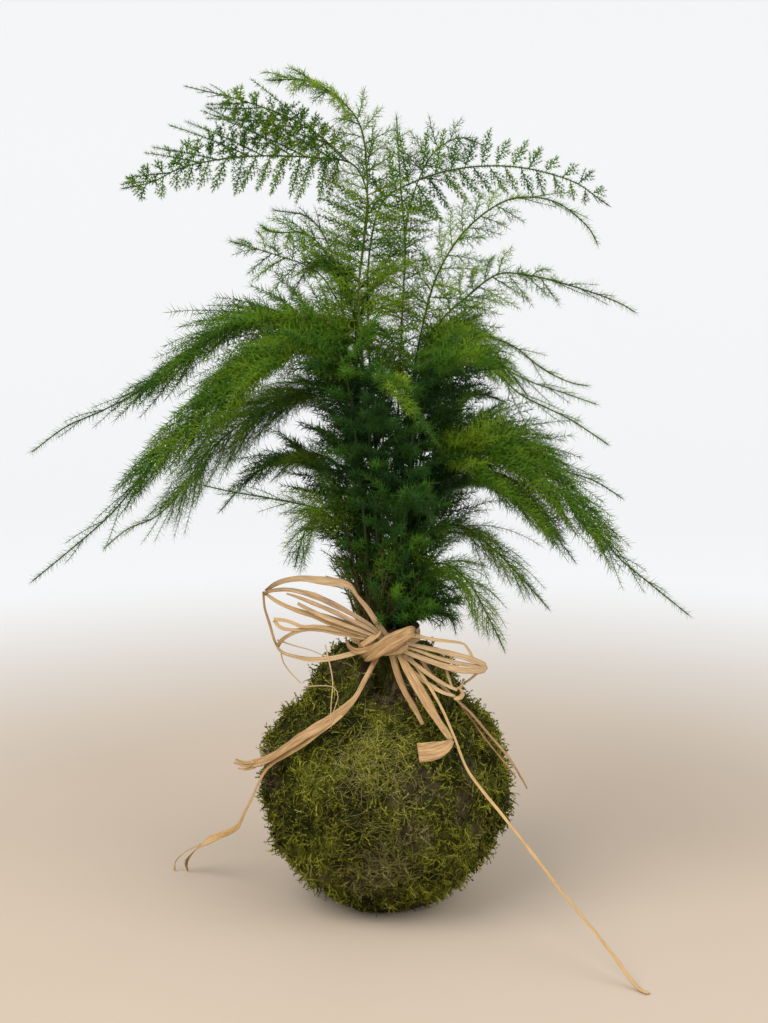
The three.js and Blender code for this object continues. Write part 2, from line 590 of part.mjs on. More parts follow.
// The leafy stems. A root is its distance from the neck's middle and its bearing in degrees, a
// route runs from the neck's top to the tip, and leafFrom is where the pinnae begin. Branches
// are fronds that leave the stem at their first point.
const LEAFY_STEMS = {
  leafy_stem_top_left: {
    root: [4.4, 200], face: [0, -1, 0.25], pinna: 34, leafFrom: [-32, -4, 343],
    route: [[-8, 1, 180], [-12, 2, 227], [-13, 2, 278], [-10, 2, 305], [-8, 1, 327], [-14, 0, 341],
      [-32, -4, 344], [-64, -8, 344], [-90, -11, 339], [-102, -13, 333], [-115, -15, 330]],
    branches: [
      { face: [0, -1, 0.25], pinna: 24, leafFrom: [-40, -5, 360],
        route: [[-17, -1, 340], [-26, -3, 351], [-40, -5, 360], [-62, -8, 368], [-87, -10, 374]] },
    ],
  },
  leafy_stem_top_front: {
    root: [4.4, 252], pinna: 22, leafFrom: [-11, -8, 250],
    route: [[-8, -7, 227], [-12, -9, 285], [-10, -10, 306], [-8, -10, 330], [-11, -12, 357],
      [-18, -17, 366], [-32, -28, 374], [-49, -40, 373]],
  },
  leafy_stem_long_arch: {
    root: [4.4, 100], face: [0, -1, 0.3], pinna: 30, leafFrom: [-2, 9, 324],
    route: [[-4, 9, 200], [-8, 10, 270], [-7, 9, 305], [-1, 9, 326], [10, 9, 333], [32, 10, 340],
      [60, 12, 341], [87, 14, 334], [96, 15, 328], [102, 15, 324]],
  },
  leafy_stem_centre: {
    root: [4.4, 50], face: [0.3, -0.9, 0.2], pinna: 20, leafFrom: [6, 13, 240],
    route: [[6, 12, 235], [8, 15, 281], [9, 18, 308], [7, 20, 332], [5, 20, 364]],
    branches: [
      { face: [0, -1, 0.2], pinna: 17, leafFrom: [18, 22, 340],
        route: [[9, 18, 312], [13, 20, 330], [22, 22, 348], [34, 23, 355], [44, 24, 352]] },
    ],
  },
  leafy_stem_right_upper: {
    root: [4.4, 306], pinna: 22, leafFrom: [16, -8, 262],
    route: [[11, -7, 237], [17, -9, 272], [23, -13, 293], [35, -17, 312], [51, -20, 324],
      [63, -22, 326], [75, -25, 323], [88, -28, 312], [91, -30, 306]],
  },
  leafy_stem_right_high: {
    root: [4.4, 0], pinna: 24, leafFrom: [24, 3, 268],
    route: [[15, 3, 236], [24, 3, 270], [36, 4, 282], [51, 6, 293], [62, 8, 293], [84, 9, 288],
      [107, 10, 280], [114, 10, 276]],
  },
  leafy_stem_left_high: {
    root: [4.4, 150], pinna: 18, leafFrom: [-17, 6, 245],
    route: [[-15, 6, 230], [-19, 7, 270], [-23, 8, 298], [-34, 11, 318], [-51, 15, 322]],
    branches: [
      { pinna: 20, leafFrom: [-40, 7, 300],
        route: [[-20, 7, 278], [-31, 6, 294], [-51, 8, 302], [-71, 10, 308]] },
      { pinna: 17, leafFrom: [-34, -5, 309],
        route: [[-22, 8, 292], [-27, 2, 303], [-36, -8, 311], [-49, -17, 311], [-54, -25, 314]] },
    ],
  },
  leafy_stem_left_long: {
    root: [8.6, 187], pinna: 34, leafFrom: [-32, -5, 270], pitch: 13.5,
    route: [[-17, -3, 227], [-21, -4, 255], [-33, -5, 270], [-58, -7, 273], [-74, -8, 267],
      [-107, -12, 243], [-128, -15, 232], [-142, -17, 226], [-157, -20, 215]],
  },
  leafy_stem_left_front: {
    root: [8.6, 221], pinna: 34, leafFrom: [-40, -21, 261], pitch: 13.5,
    route: [[-13, -11, 215], [-19, -14, 250], [-30, -18, 262], [-46, -22, 260], [-72, -30, 239],
      [-98, -39, 215], [-118, -47, 191], [-134, -51, 177], [-150, -60, 164]],
  },
  leafy_stem_left_back: {
    root: [8.6, 152], pinna: 30, leafFrom: [-36, 15, 240], pitch: 13.5,
    route: [[-15, 9, 200], [-20, 13, 232], [-30, 15, 240], [-48, 17, 236], [-84, 21, 210],
      [-95, 23, 194], [-109, 26, 179], [-124, 28, 172], [-135, 30, 163]],
  },
  leafy_stem_right_back: {
    root: [8.6, 22], pinna: 25, leafFrom: [45, 25, 264],
    route: [[15, 12, 226], [24, 17, 258], [34, 21, 266], [45, 25, 265], [61, 29, 259],
      [74, 32, 249], [88, 36, 242], [97, 40, 240]],
    branches: [
      { pinna: 17, leafFrom: [66, 25, 244],
        route: [[36, 22, 266], [50, 22, 254], [66, 25, 244], [83, 27, 238], [100, 30, 232]] },
    ],
  },
  leafy_stem_right_middle: {
    root: [8.6, 345], pinna: 26, leafFrom: [40, -8, 256],
    route: [[15, -3, 215], [22, -5, 250], [32, -7, 260], [49, -10, 250], [60, -12, 240],
      [82, -14, 229], [99, -15, 218]],
  },
  leafy_stem_right_inner: {
    root: [8.6, 50], pinna: 20, leafFrom: [24, 21, 226],
    route: [[14, 13, 190], [18, 17, 213], [28, 24, 232], [44, 33, 237], [58, 41, 232]],
  },
  leafy_stem_front: {
    root: [8.6, 265], face: [0.2, -0.5, 0.8], pinna: 22, leafFrom: [0, -42, 244],
    route: [[-1, -15, 180], [-1, -28, 222], [0, -44, 246], [3, -56, 248], [10, -67, 239],
      [21, -80, 225]],
  },
  leafy_stem_back_left: {
    root: [8.6, 116], face: [0, 0.4, 0.9], pinna: 26, leafFrom: [-16, 34, 280],
    route: [[-6, 15, 200], [-10, 22, 245], [-18, 38, 284], [-30, 60, 298], [-40, 80, 294],
      [-48, 96, 282]],
  },
  leafy_stem_back_right: {
    root: [8.6, 82], face: [0, 0.4, 0.9], pinna: 28, leafFrom: [19, 38, 252],
    route: [[7, 17, 190], [12, 26, 230], [22, 44, 258], [34, 62, 268], [46, 82, 264],
      [58, 102, 250]],
  },
  leafy_stem_front_right: {
    root: [8.6, 308], pinna: 22, leafFrom: [22, -32, 254],
    route: [[10, -13, 190], [14, -22, 236], [22, -32, 255], [35, -45, 262], [48, -58, 256],
      [58, -68, 244]],
  },
  leafy_stem_low_left_back: {
    root: [12.7, 155], pinna: 19, leafFrom: [-27, 17, 207],
    route: [[-15, 9, 175], [-19, 13, 198], [-29, 17, 209], [-42, 21, 207], [-54, 25, 196]],
  },
  leafy_stem_low_left: {
    root: [12.7, 184], pinna: 22, leafFrom: [-30, -4, 185],
    route: [[-15, -1, 160], [-19, -2, 176], [-30, -4, 186], [-53, -6, 192], [-69, -8, 195],
      [-85, -10, 199]],
  },
  leafy_stem_low_front_left: {
    root: [12.7, 214], pinna: 17, leafFrom: [-25, -16, 188],
    route: [[-14, -9, 160], [-19, -11, 180], [-27, -13, 189], [-36, -15, 179], [-41, -17, 162]],
  },
  leafy_stem_low_right_long: {
    root: [12.7, 340], pinna: 32, leafFrom: [38, -11, 220], pitch: 13.5,
    route: [[15, -6, 180], [20, -7, 206], [28, -9, 218], [40, -11, 220], [56, -15, 214],
      [76, -19, 198], [92, -25, 183], [103, -29, 169], [114, -33, 160], [133, -40, 145]],
  },
  leafy_stem_low_right: {
    root: [12.7, 2], pinna: 25, leafFrom: [46, 9, 214],
    route: [[16, 4, 180], [22, 7, 204], [37, 9, 215], [53, 10, 217], [67, 10, 213],
      [80, 10, 204], [97, 10, 198], [110, 10, 190]],
    branches: [
      { pinna: 15, leafFrom: [60, 13, 196],
        route: [[36, 9, 214], [47, 12, 205], [62, 15, 193], [78, 18, 174], [90, 20, 158]] },
    ],
  },
  leafy_stem_low_right_back: {
    root: [12.7, 24], pinna: 20, leafFrom: [34, 11, 176],
    route: [[16, 9, 158], [22, 10, 172], [34, 11, 177], [45, 13, 170], [55, 15, 161],
      [65, 17, 150], [78, 20, 135]],
  },
  leafy_stem_low_right_front: {
    root: [12.7, 318], pinna: 15, leafFrom: [27, -14, 163],
    route: [[13, -10, 150], [18, -11, 161], [27, -14, 163], [37, -18, 156], [46, -24, 141],
      [53, -30, 127]],
  },
  leafy_stem_low_right_short: {
    root: [12.7, 46], pinna: 12, leafFrom: [20, 13, 152],
    route: [[11, 10, 146], [16, 12, 154], [24, 13, 148], [31, 12, 134], [33, 11, 126]],
  },
  leafy_stem_low_back: {
    root: [12.7, 98], face: [0, 0.4, 0.9], pinna: 30, leafFrom: [-4, 40, 218],
    route: [[-3, 18, 170], [-4, 30, 205], [-6, 48, 222], [-10, 70, 219], [-14, 92, 203],
      [-18, 110, 184]],
  },
  leafy_stem_low_back_right: {
    root: [12.7, 69], pinna: 27, leafFrom: [22, 29, 186], face: [0, 0.3, 0.9],
    route: [[8, 18, 160], [16, 25, 180], [30, 36, 192], [46, 50, 193], [62, 64, 183],
      [78, 80, 164]],
  },
  leafy_stem_low_back_left: {
    root: [12.7, 127], pinna: 28, leafFrom: [-28, 28, 198], face: [0, 0.3, 0.9],
    route: [[-12, 15, 170], [-20, 22, 190], [-34, 33, 203], [-50, 46, 204], [-66, 60, 194],
      [-84, 74, 174]],
  },
  leafy_stem_low_front: {
    root: [12.7, 288], pinna: 17, leafFrom: [8, -34, 194],
    route: [[6, -18, 165], [8, -27, 186], [11, -38, 197], [15, -50, 198], [20, -62, 189]],
  },
};

const BRANCH_FACE = [0, -0.6, 0.8];

function rootPoint([distance, degrees]) {
  const angle = THREE.MathUtils.degToRad(degrees);
  return [distance * Math.cos(angle), distance * Math.sin(angle)];
}

// Where an axis needs a ring of corners, because it has bent or run on
function ringsFrom(axis, from) {
  const [mostBend, mostRun] = [0.42, 30];
  const rings = [];
  let last = from;
  for (let s = from + RING_ROOM; s < axis.length - RING_ROOM; s += 1) {
    if (axis.tangentAt(s).angleTo(axis.tangentAt(last)) < mostBend && s - last < mostRun) continue;
    rings.push(s);
    last = s;
  }
  return rings;
}

function mainAxis(name, stem, seed) {
  const [x, y] = rootPoint(stem.root);
  const points = [[x, y, NECK_TOP_Z - HOLE_DEPTH + FIT_GAP], [x, y, NECK_TOP_Z + 2], ...stem.route];
  const options = { radius: STEM_RADIUS, tipRadius: STEM_TIP_RADIUS, face: stem.face };
  const axis = new Axis(name, points, options);
  axis.seed = seed;
  axis.rings = [HOLE_DEPTH + 2, ...ringsFrom(axis, HOLE_DEPTH + 2)];
  return axis;
}

function addBranch(main, branch) {
  const s = main.nearest(new THREE.Vector3(...branch.route[0]));
  const points = [main.pointAt(s + WHORL_HEIGHT / 2).toArray(), ...branch.route.slice(1)];
  const options = { radius: BRANCH_RADIUS, tipRadius: PINNA_RADIUS, face: branch.face ?? BRANCH_FACE };
  const axis = new Axis(main.node, points, options);
  axis.rings = ringsFrom(axis, 0);
  main.rings = main.rings.filter((ring) => Math.abs(ring - s) > 6);
  addJoint(main, s, { child: axis, towards: axis.tangentAt(0) });
  return axis;
}

function claimRaffia(name, points, width) {
  const line = smoothLine(points);
  segmentsOf(line, 0, line.getLength(), 5).forEach(([a, b]) => place(a, b, width / 2, name, name));
}

function allLeafyStems() {
  Object.entries(TAILS).forEach(([name, { points, width }]) => claimRaffia(name, points, width));
  LEFT_LOOPS.forEach(({ points, width }) => claimRaffia('raffia_loops_left', points, width));
  RIGHT_LOOPS.forEach(({ points, width }) => claimRaffia('raffia_loops_right', points, width));

  const stems = Object.entries(LEAFY_STEMS).map(([name, stem], i) => {
    const main = mainAxis(name, stem, 101 + 17 * i);
    const fronds = [[main, stem]];
    (stem.branches ?? []).forEach((branch) => fronds.push([addBranch(main, branch), branch]));
    return { main, fronds };
  });
  for (const { main, fronds } of stems) {
    for (const [axis] of fronds) {
      for (const [a, b] of segmentsOf(axis.line, 0, axis.length, 6)) {
        const skip = (other) => other.node === main.node;
        if (!isClear(a, b, axis.radius, skip)) {
          throw new Error(`${main.node} comes too near another piece at ${a.toArray().map(Math.round)}`);
        }
      }
    }
    fronds.forEach(([axis]) => axis.claim(0));
  }
  for (const { main, fronds } of stems) {
    const random = makeRandom(main.seed);
    fronds.forEach(([axis, frond]) => leafOut(axis, frond, random));
  }
  return stems.map(({ main }) => namedMesh(main.node, growStem(main), MATERIALS.foliage));
}

// The whole plant

const kokedama = new THREE.Group();

const roots = Object.values(LEAFY_STEMS).map((stem) => rootPoint(stem.root));
kokedama.add(namedMesh('soil_ball', toGeometry(soilBall(roots)), MATERIALS.soil));
kokedama.add(namedMesh('moss_cover', toGeometry(mossCover()), MATERIALS.moss));

const knot = knotBlank(0).subtract(collarSolid(FIT_GAP));
const knotRoom = knotBlank(FIT_GAP);
kokedama.add(namedMesh('raffia_collar', toGeometry(collarSolid(0)), MATERIALS.raffia));
kokedama.add(namedMesh('raffia_knot', toGeometry(knot), MATERIALS.raffia));

const leftLoops = joined(LEFT_LOOPS, outToFront).subtract(knotRoom);
const rightLoops = joined(RIGHT_LOOPS, outToFront).subtract(knotRoom);
kokedama.add(namedMesh('raffia_loops_left', toGeometry(leftLoops), MATERIALS.raffia));
kokedama.add(namedMesh('raffia_loops_right', toGeometry(rightLoops), MATERIALS.raffia));

for (const [name, { points, width, steps }] of Object.entries(TAILS)) {
  const tail = ribbonSolid(points, width, outFromBelow, steps).subtract(knotRoom);
  kokedama.add(namedMesh(name, toGeometry(tail), MATERIALS.raffia));
}

kokedama.add(...allLeafyStems());

export default kokedama;
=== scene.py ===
# A kokedama: an asparagus fern that grows from a ball of soil, wrapped in sheet moss and tied
# at its neck with a bow of raffia. Shapes are worked out in millimetres and made in metres.
# +Z is up, +X right, -Y towards the viewer, and the origin is under the middle of the ball.

import math

import bpy
import numpy as np
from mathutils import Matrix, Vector


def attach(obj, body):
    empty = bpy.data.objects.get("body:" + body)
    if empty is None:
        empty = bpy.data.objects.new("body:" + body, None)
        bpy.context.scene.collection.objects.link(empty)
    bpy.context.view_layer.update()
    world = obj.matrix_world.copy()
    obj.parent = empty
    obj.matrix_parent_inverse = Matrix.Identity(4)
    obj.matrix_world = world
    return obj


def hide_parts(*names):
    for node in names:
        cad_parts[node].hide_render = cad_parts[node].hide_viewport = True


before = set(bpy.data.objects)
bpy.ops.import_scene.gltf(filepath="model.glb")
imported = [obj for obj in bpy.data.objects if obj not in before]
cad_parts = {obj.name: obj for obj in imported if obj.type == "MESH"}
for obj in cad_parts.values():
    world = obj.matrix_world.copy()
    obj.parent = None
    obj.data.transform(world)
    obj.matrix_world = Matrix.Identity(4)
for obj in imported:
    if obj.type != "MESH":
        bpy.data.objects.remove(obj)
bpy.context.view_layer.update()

MM = 0.001
UP = np.array([0.0, 0.0, 1.0])
RIGHT = np.array([1.0, 0.0, 0.0])
LEVEL = np.array([1.0, 1.0, 0.0])

# The camera and the stage
PHOTO_HEIGHT_PX = 1023
FOCAL_PX = 1577.0
SENSOR_MM = 36.0
CAMERA_PLACE = (-0.0007, -0.718, 0.292)
CAMERA_DOWN_DEGREES = 8.48
SKY_STRENGTH = 0.62
WALL_GLOW = 0.6
GLOW_FROM_TO_M = (0.2, 0.85)

# The ball and its neck
BALL_RADIUS = 60.0
BALL_CENTRE = np.array([0.0, 0.0, 56.0])
SOIL_RADIUS = 51.5
SOIL_FOOT_Z = 8.0
NECK_RADIUS = 15.0
NECK_FOOT_Z = 106.0
NECK_TOP_Z = 133.0
MOSS_TOP_Z = 124.3
COLLAR_Z = 128.5
STEM_FOOT_Z = 121.3

# Stems and twigs
STEM_RADIUS = 0.85
STEM_TIP_RADIUS = 0.26
BRANCH_RADIUS = 0.42
BRANCH_TIP_RADIUS = 0.2
STEM_SIDES = 5
STEM_STEP = 4.0
TWIG_SIDES = 3
NEEDLE_TIP_LIGHT = 0.1

# Moss, soil and raffia
MOSS_SINK = 2.4
NECK_RISE = 11
SHOULDER_DIP = 2.6
FOOT_SPREAD = 3.2
PARTING_BEARING = -97
PARTING_DEPTH = 15
MOSS_STRANDS = 3950
DARK_STUBS = 70
SOIL_CRUMBS = 260
CRUMBS_REACH = 14.5
SOIL_SEED = 31
WRAP_TURNS = 5
WRAP_RADIUS = 15.9
RAFFIA_SEED = 77


# Vectors and lines


def unit(v):
    return v / np.maximum(np.linalg.norm(v, axis=-1, keepdims=True), 1e-9)


def level_way(bearing):
    return np.array([math.cos(bearing), math.sin(bearing), 0])


def to_side(across, out, side, roll):
    """The way to one side of a twig, rolled out of its plane."""
    return across * side * math.cos(roll) + out * math.sin(roll)


def smoothstep(x, low, high):
    t = np.clip((x - low) / (high - low), 0, 1)
    return t * t * (3 - 2 * t)


def span(p0, p1, p2, p3, t):
    """One stretch of a centripetal curve from p1 to p2."""
    d0, d1, d2 = (np.linalg.norm(b - a) ** 0.5 for a, b in ((p0, p1), (p1, p2), (p2, p3)))
    m1 = (p1 - p0) / d0 - (p2 - p0) / (d0 + d1) + (p2 - p1) / d1
    m2 = (p2 - p1) / d1 - (p3 - p1) / (d1 + d2) + (p3 - p2) / d2
    m1, m2, t = m1 * d1, m2 * d1, t[:, None]
    cubic = 2 * p1 - 2 * p2 + m1 + m2
    square = -3 * p1 + 3 * p2 - 2 * m1 - m2
    return p1 + m1 * t + square * t**2 + cubic * t**3


def read(points, run, s):
    """Places at distances s along a line whose corners lie at the distances run."""
    return np.stack([np.interp(s, run, points[:, k]) for k in range(3)], axis=-1)


class Line:
    """A smooth line through given points, read by the distance along it."""

    def __init__(self, points, per_span=24):
        p = np.array(points, float)
        p = np.vstack([2 * p[0] - p[1], p, 2 * p[-1] - p[-2]])
        t = np.arange(per_span) / per_span
        stretches = [span(*p[i : i + 4], t) for i in range(len(p) - 3)]
        self.points = np.vstack([*stretches, p[-2:-1]])
        steps = np.linalg.norm(np.diff(self.points, axis=0), axis=1)
        self.run = np.concatenate([[0], np.cumsum(steps)])
        self.length = self.run[-1]

    def at(self, s):
        return read(self.points, self.run, s)

    def along(self, s):
        step = 0.5
        ahead = self.at(np.minimum(s + step, self.length))
        return unit(ahead - self.at(np.maximum(s - step, 0)))

    def nearest(self, point):
        return self.run[np.argmin(np.linalg.norm(self.points - np.array(point), axis=1))]


def side_frames(points):
    """Two directions square to a line at each of its points, turning as little as they can."""
    along = unit(np.gradient(points, axis=0))
    first = np.cross(along[0], UP if abs(along[0][2]) < 0.9 else RIGHT)
    sides = [unit(first)]
    for direction in along[1:]:
        side = sides[-1] - direction * np.dot(sides[-1], direction)
        sides.append(unit(side))
    sides = np.array(sides)
    return sides, np.cross(along, sides)


# Meshes


def column(values):
    return np.reshape(values, (-1, 1))


def tones_of(first, second, third):
    """Three tones for each of many small forms, from lists or from one number for all."""
    return np.stack(np.broadcast_arrays(first, second, third), -1)


def three_corners(middle, side, over, half):
    """The corners of a three-sided foot or bend."""
    angles = [2 * math.pi * k / 3 for k in range(3)]
    return [middle + (side * math.cos(angle) + over * math.sin(angle)) * half for angle in angles]


def ring(radius, around, z):
    """Points on a level circle, in millimetres."""
    return np.stack([radius * np.cos(around), radius * np.sin(around), z + np.zeros(len(around))], -1)


class Shape:
    """Triangles that become one mesh, with three tones at each corner for its material."""

    def __init__(self):
        self.points, self.faces, self.tones, self.grains = [], [], [], []
        self.count = 0

    def add(self, points, faces, tone, grain=None):
        points = np.asarray(points, float)
        self.points.append(points)
        self.faces.append(np.asarray(faces) + self.count)
        self.tones.append(np.broadcast_to(tone, (len(points), 3)))
        self.grains.append(np.zeros((len(points), 3)) if grain is None else grain)
        self.count += len(points)

    def copies(self, corners, each, tones):
        """The same few triangles for each of many small forms, given by corner."""
        points = np.stack(corners, axis=1)
        total, count = points.shape[:2]
        faces = np.array(each)[None] + count * np.arange(total)[:, None, None]
        tones = np.stack([np.broadcast_to(tone, (total, 3)) for tone in tones], axis=1)
        self.add(points.reshape(-1, 3), faces.reshape(-1, 3), tones.reshape(-1, 3))

    def needles(self, roots, directions, lengths, widths, tone):
        """Slim three-sided spikes, closed at the foot."""
        directions = unit(directions)
        helper = np.where(np.abs(directions[:, 2:]) < 0.9, UP, RIGHT)
        side = unit(np.cross(directions, helper))
        corners = three_corners(roots, side, np.cross(directions, side), column(widths) / 2)
        tips = roots + directions * column(lengths)
        self.copies([*corners, tips], [[0, 2, 1], [0, 1, 3], [1, 2, 3], [2, 0, 3]], [tone] * 4)

    def needle_pairs(self, roots, along, aside, one, other, lengths, other_lengths, widths, tone):
        """Two needles that leave a twig on opposite sides and share one three-sided foot."""
        corners = three_corners(roots, np.cross(along, aside), along, column(widths) / math.sqrt(3))
        tips = [roots + one * column(lengths), roots + other * column(other_lengths)]
        each = [[0, 1, 3], [1, 2, 3], [2, 0, 3], [1, 0, 4], [2, 1, 4], [0, 2, 4]]
        tip_tone = tone + np.array([0, NEEDLE_TIP_LIGHT, 0])
        self.copies([*corners, *tips], each, [tone] * 3 + [tip_tone] * 2)

    def curved_needles(self, roots, middles, tips, widths, root_tone, tip_tone):
        """Three-sided spikes with one bend, closed at the foot."""
        side = unit(np.cross(tips - roots, middles - roots + 1e-4))
        over = unit(np.cross(tips - roots, side))
        corners = []
        for place in (roots, middles):
            corners += three_corners(place, side, over, column(widths) / 2)
        each = [[0, 2, 1]]
        for k in range(3):
            after = (k + 1) % 3
            each += [[k, after, after + 3], [k, after + 3, k + 3], [k + 3, after + 3, 6]]
        middle_tone = (root_tone + tip_tone) / 2
        self.copies([*corners, tips], each, [root_tone] * 3 + [middle_tone] * 3 + [tip_tone])

    def leaves(self, roots, directions, backs, lengths, widths, root_tone, tip_tone):
        """Small pointed leaves with a keel, each a flattened closed tetrahedron."""
        directions = unit(directions)
        across = unit(np.cross(directions, backs))
        half = across * column(widths) / 2
        middle = roots + directions * column(lengths) * 0.45
        keel = roots + np.cross(directions, across) * 0.12
        corners = [keel, middle - half, middle + half, roots + directions * column(lengths)]
        middle_tone = (root_tone + tip_tone) / 2
        each = [[0, 1, 2], [1, 3, 2], [0, 2, 3], [0, 3, 1]]
        self.copies(corners, each, [root_tone, middle_tone, middle_tone, tip_tone])

    def tube(self, points, radii, sides, tone):
        points = np.asarray(points, float)
        across, over = side_frames(points)
        angles = 2 * math.pi * np.arange(sides) / sides
        out = np.cos(angles)[:, None] * across[:, None] + np.sin(angles)[:, None] * over[:, None]
        radii = np.broadcast_to(radii, (len(points),))
        corners = (points[:, None] + out * radii[:, None, None]).reshape(-1, 3)
        self.rings(corners, len(points), sides, tone)

    def rings(self, corners, rows, sides, tone, grain=None):
        """A closed skin over rows of corners, with both ends covered."""
        row = np.arange(rows - 1)[:, None] * sides
        here = np.arange(sides)[None]
        after = (here + 1) % sides
        a, b, c, d = row + here, row + after, row + sides + after, row + sides + here
        walls = np.stack([np.stack([a, b, c], -1), np.stack([a, c, d], -1)], 2).reshape(-1, 3)
        fan = np.array([[0, k + 1, k] for k in range(1, sides - 1)])
        caps = np.vstack([fan, fan[:, ::-1] + (rows - 1) * sides])
        self.add(corners, np.vstack([walls, caps]), tone, grain)

    def mesh(self, name):
        points = np.vstack(self.points) * MM
        faces = np.vstack(self.faces).astype(np.int32)
        mesh = bpy.data.meshes.new(name)
        mesh.vertices.add(len(points))
        mesh.vertices.foreach_set("co", points.astype(np.float32).ravel())
        mesh.loops.add(faces.size)
        mesh.loops.foreach_set("vertex_index", faces.ravel())
        mesh.polygons.add(len(faces))
        mesh.polygons.foreach_set("loop_start", np.arange(0, faces.size, 3, dtype=np.int32))
        mesh.polygons.foreach_set("loop_total", np.full(len(faces), 3, dtype=np.int32))
        for label, values in (("tone", self.tones), ("grain", self.grains)):
            attribute = mesh.attributes.new(label, "FLOAT_VECTOR", "POINT")
            attribute.data.foreach_set("vector", np.vstack(values).astype(np.float32).ravel())
        mesh.update(calc_edges=True)
        return mesh


def add_object(name, data):
    thing = bpy.data.objects.new(name, data)
    bpy.context.scene.collection.objects.link(thing)
    return thing


def make_piece(name, shape, material, replaced=(), smooth=False):
    mesh = shape.mesh(name)
    mesh.materials.append(material)
    if smooth:
        mesh.shade_smooth()
    piece = add_object(name, mesh)
    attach(piece, "root")
    if replaced:
        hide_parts(*replaced)


# Materials


class Nodes:
    """A short way to write a material's nodes."""

    def __init__(self, name):
        self.material = bpy.data.materials.new(name)
        self.material.use_nodes = True
        self.tree = self.material.node_tree
        self.tree.nodes.clear()

    def node(self, kind, inputs=None, **settings):
        node = self.tree.nodes.new(kind)
        for key, value in settings.items():
            setattr(node, key, value)
        for key, value in (inputs or {}).items():
            self.feed(node.inputs[key], value)
        return node

    def feed(self, socket, value):
        if isinstance(value, bpy.types.NodeSocket):
            self.tree.links.new(value, socket)
        else:
            socket.default_value = value

    def vector(self, label):
        return self.node("ShaderNodeAttribute", attribute_name=label).outputs["Vector"]

    def tones(self):
        return self.node("ShaderNodeSeparateXYZ", {0: self.vector("tone")}).outputs

    def noise(self, vector, scale, detail=3.0, roughness=0.55):
        inputs = {"Vector": vector, "Scale": scale, "Detail": detail, "Roughness": roughness}
        return self.node("ShaderNodeTexNoise", inputs).outputs["Fac"]

    def place(self):
        return self.node("ShaderNodeTexCoord").outputs["Object"]

    def math(self, operation, a, b, clamp=False):
        return self.node("ShaderNodeMath", {0: a, 1: b}, operation=operation, use_clamp=clamp).outputs[0]

    def spread(self, value, low, high, to_low=0.0, to_high=1.0):
        inputs = {"Value": value, "From Min": low, "From Max": high, "To Min": to_low, "To Max": to_high}
        return self.node("ShaderNodeMapRange", inputs).outputs[0]

    def mix(self, factor, a, b):
        inputs = {"Factor": factor, "A": a, "B": b}
        return self.node("ShaderNodeMix", inputs, data_type="RGBA").outputs["Result"]

    def ramp(self, value, stops):
        node = self.node("ShaderNodeValToRGB", {0: value})
        elements = node.color_ramp.elements
        elements[0].position, elements[0].color = stops[0]
        elements[1].position, elements[1].color = stops[-1]
        for position, colour in stops[1:-1]:
            elements.new(position).color = colour
        return node.outputs["Color"]

    def bump(self, height, strength, distance_mm):
        inputs = {"Height": height, "Strength": strength, "Distance": distance_mm * MM}
        return self.node("ShaderNodeBump", inputs).outputs["Normal"]

    def surface(self, colour, roughness, normal=None, specular=0.5, through=0.0, through_colour=None):
        inputs = {"Base Color": colour, "Roughness": roughness, "Specular IOR Level": specular}
        if normal is not None:
            inputs["Normal"] = normal
        result = self.node("ShaderNodeBsdfPrincipled", inputs).outputs[0]
        if through:
            back = self.node("ShaderNodeBsdfTranslucent", {"Color": through_colour or colour})
            result = self.node("ShaderNodeMixShader", {0: through, 1: result, 2: back.outputs[0]}).outputs[0]
        self.node("ShaderNodeOutputMaterial", {"Surface": result})
        return self.material


def rgb(red, green, blue):
    return (red, green, blue, 1.0)


def foliage_material():
    """Tones: how woody, how fresh, and a draw for each twig. How fresh also carries painted shade in the
    crowded heart and at the fingers, and painted light in the canopy.
    """
    n = Nodes("asparagus_fern")
    woody, fresh, draw = n.tones()
    patchy = n.noise(n.place(), 55.0)
    light = n.math("ADD", fresh, n.spread(patchy, 0.3, 0.7, -0.16, 0.16))
    light = n.math("ADD", light, n.spread(draw, 0.0, 1.0, -0.12, 0.12), clamp=True)
    green = n.ramp(light, [
        (0.0, rgb(0.008, 0.032, 0.006)), (0.35, rgb(0.024, 0.085, 0.006)),
        (0.7, rgb(0.085, 0.205, 0.008)), (1.0, rgb(0.23, 0.36, 0.015)),
    ])
    bark = n.mix(n.spread(patchy, 0.35, 0.65), rgb(0.030, 0.036, 0.010), rgb(0.085, 0.062, 0.022))
    bark = n.mix(n.spread(fresh, 0.62, 1.0), bark, rgb(0.15, 0.105, 0.04))
    colour = n.mix(woody, green, bark)
    glow = n.mix(0.4, colour, rgb(0.14, 0.32, 0.01))
    roughness = n.spread(patchy, 0.3, 0.7, 0.5, 0.68)
    return n.surface(colour, roughness, specular=0.18, through=0.22, through_colour=glow)


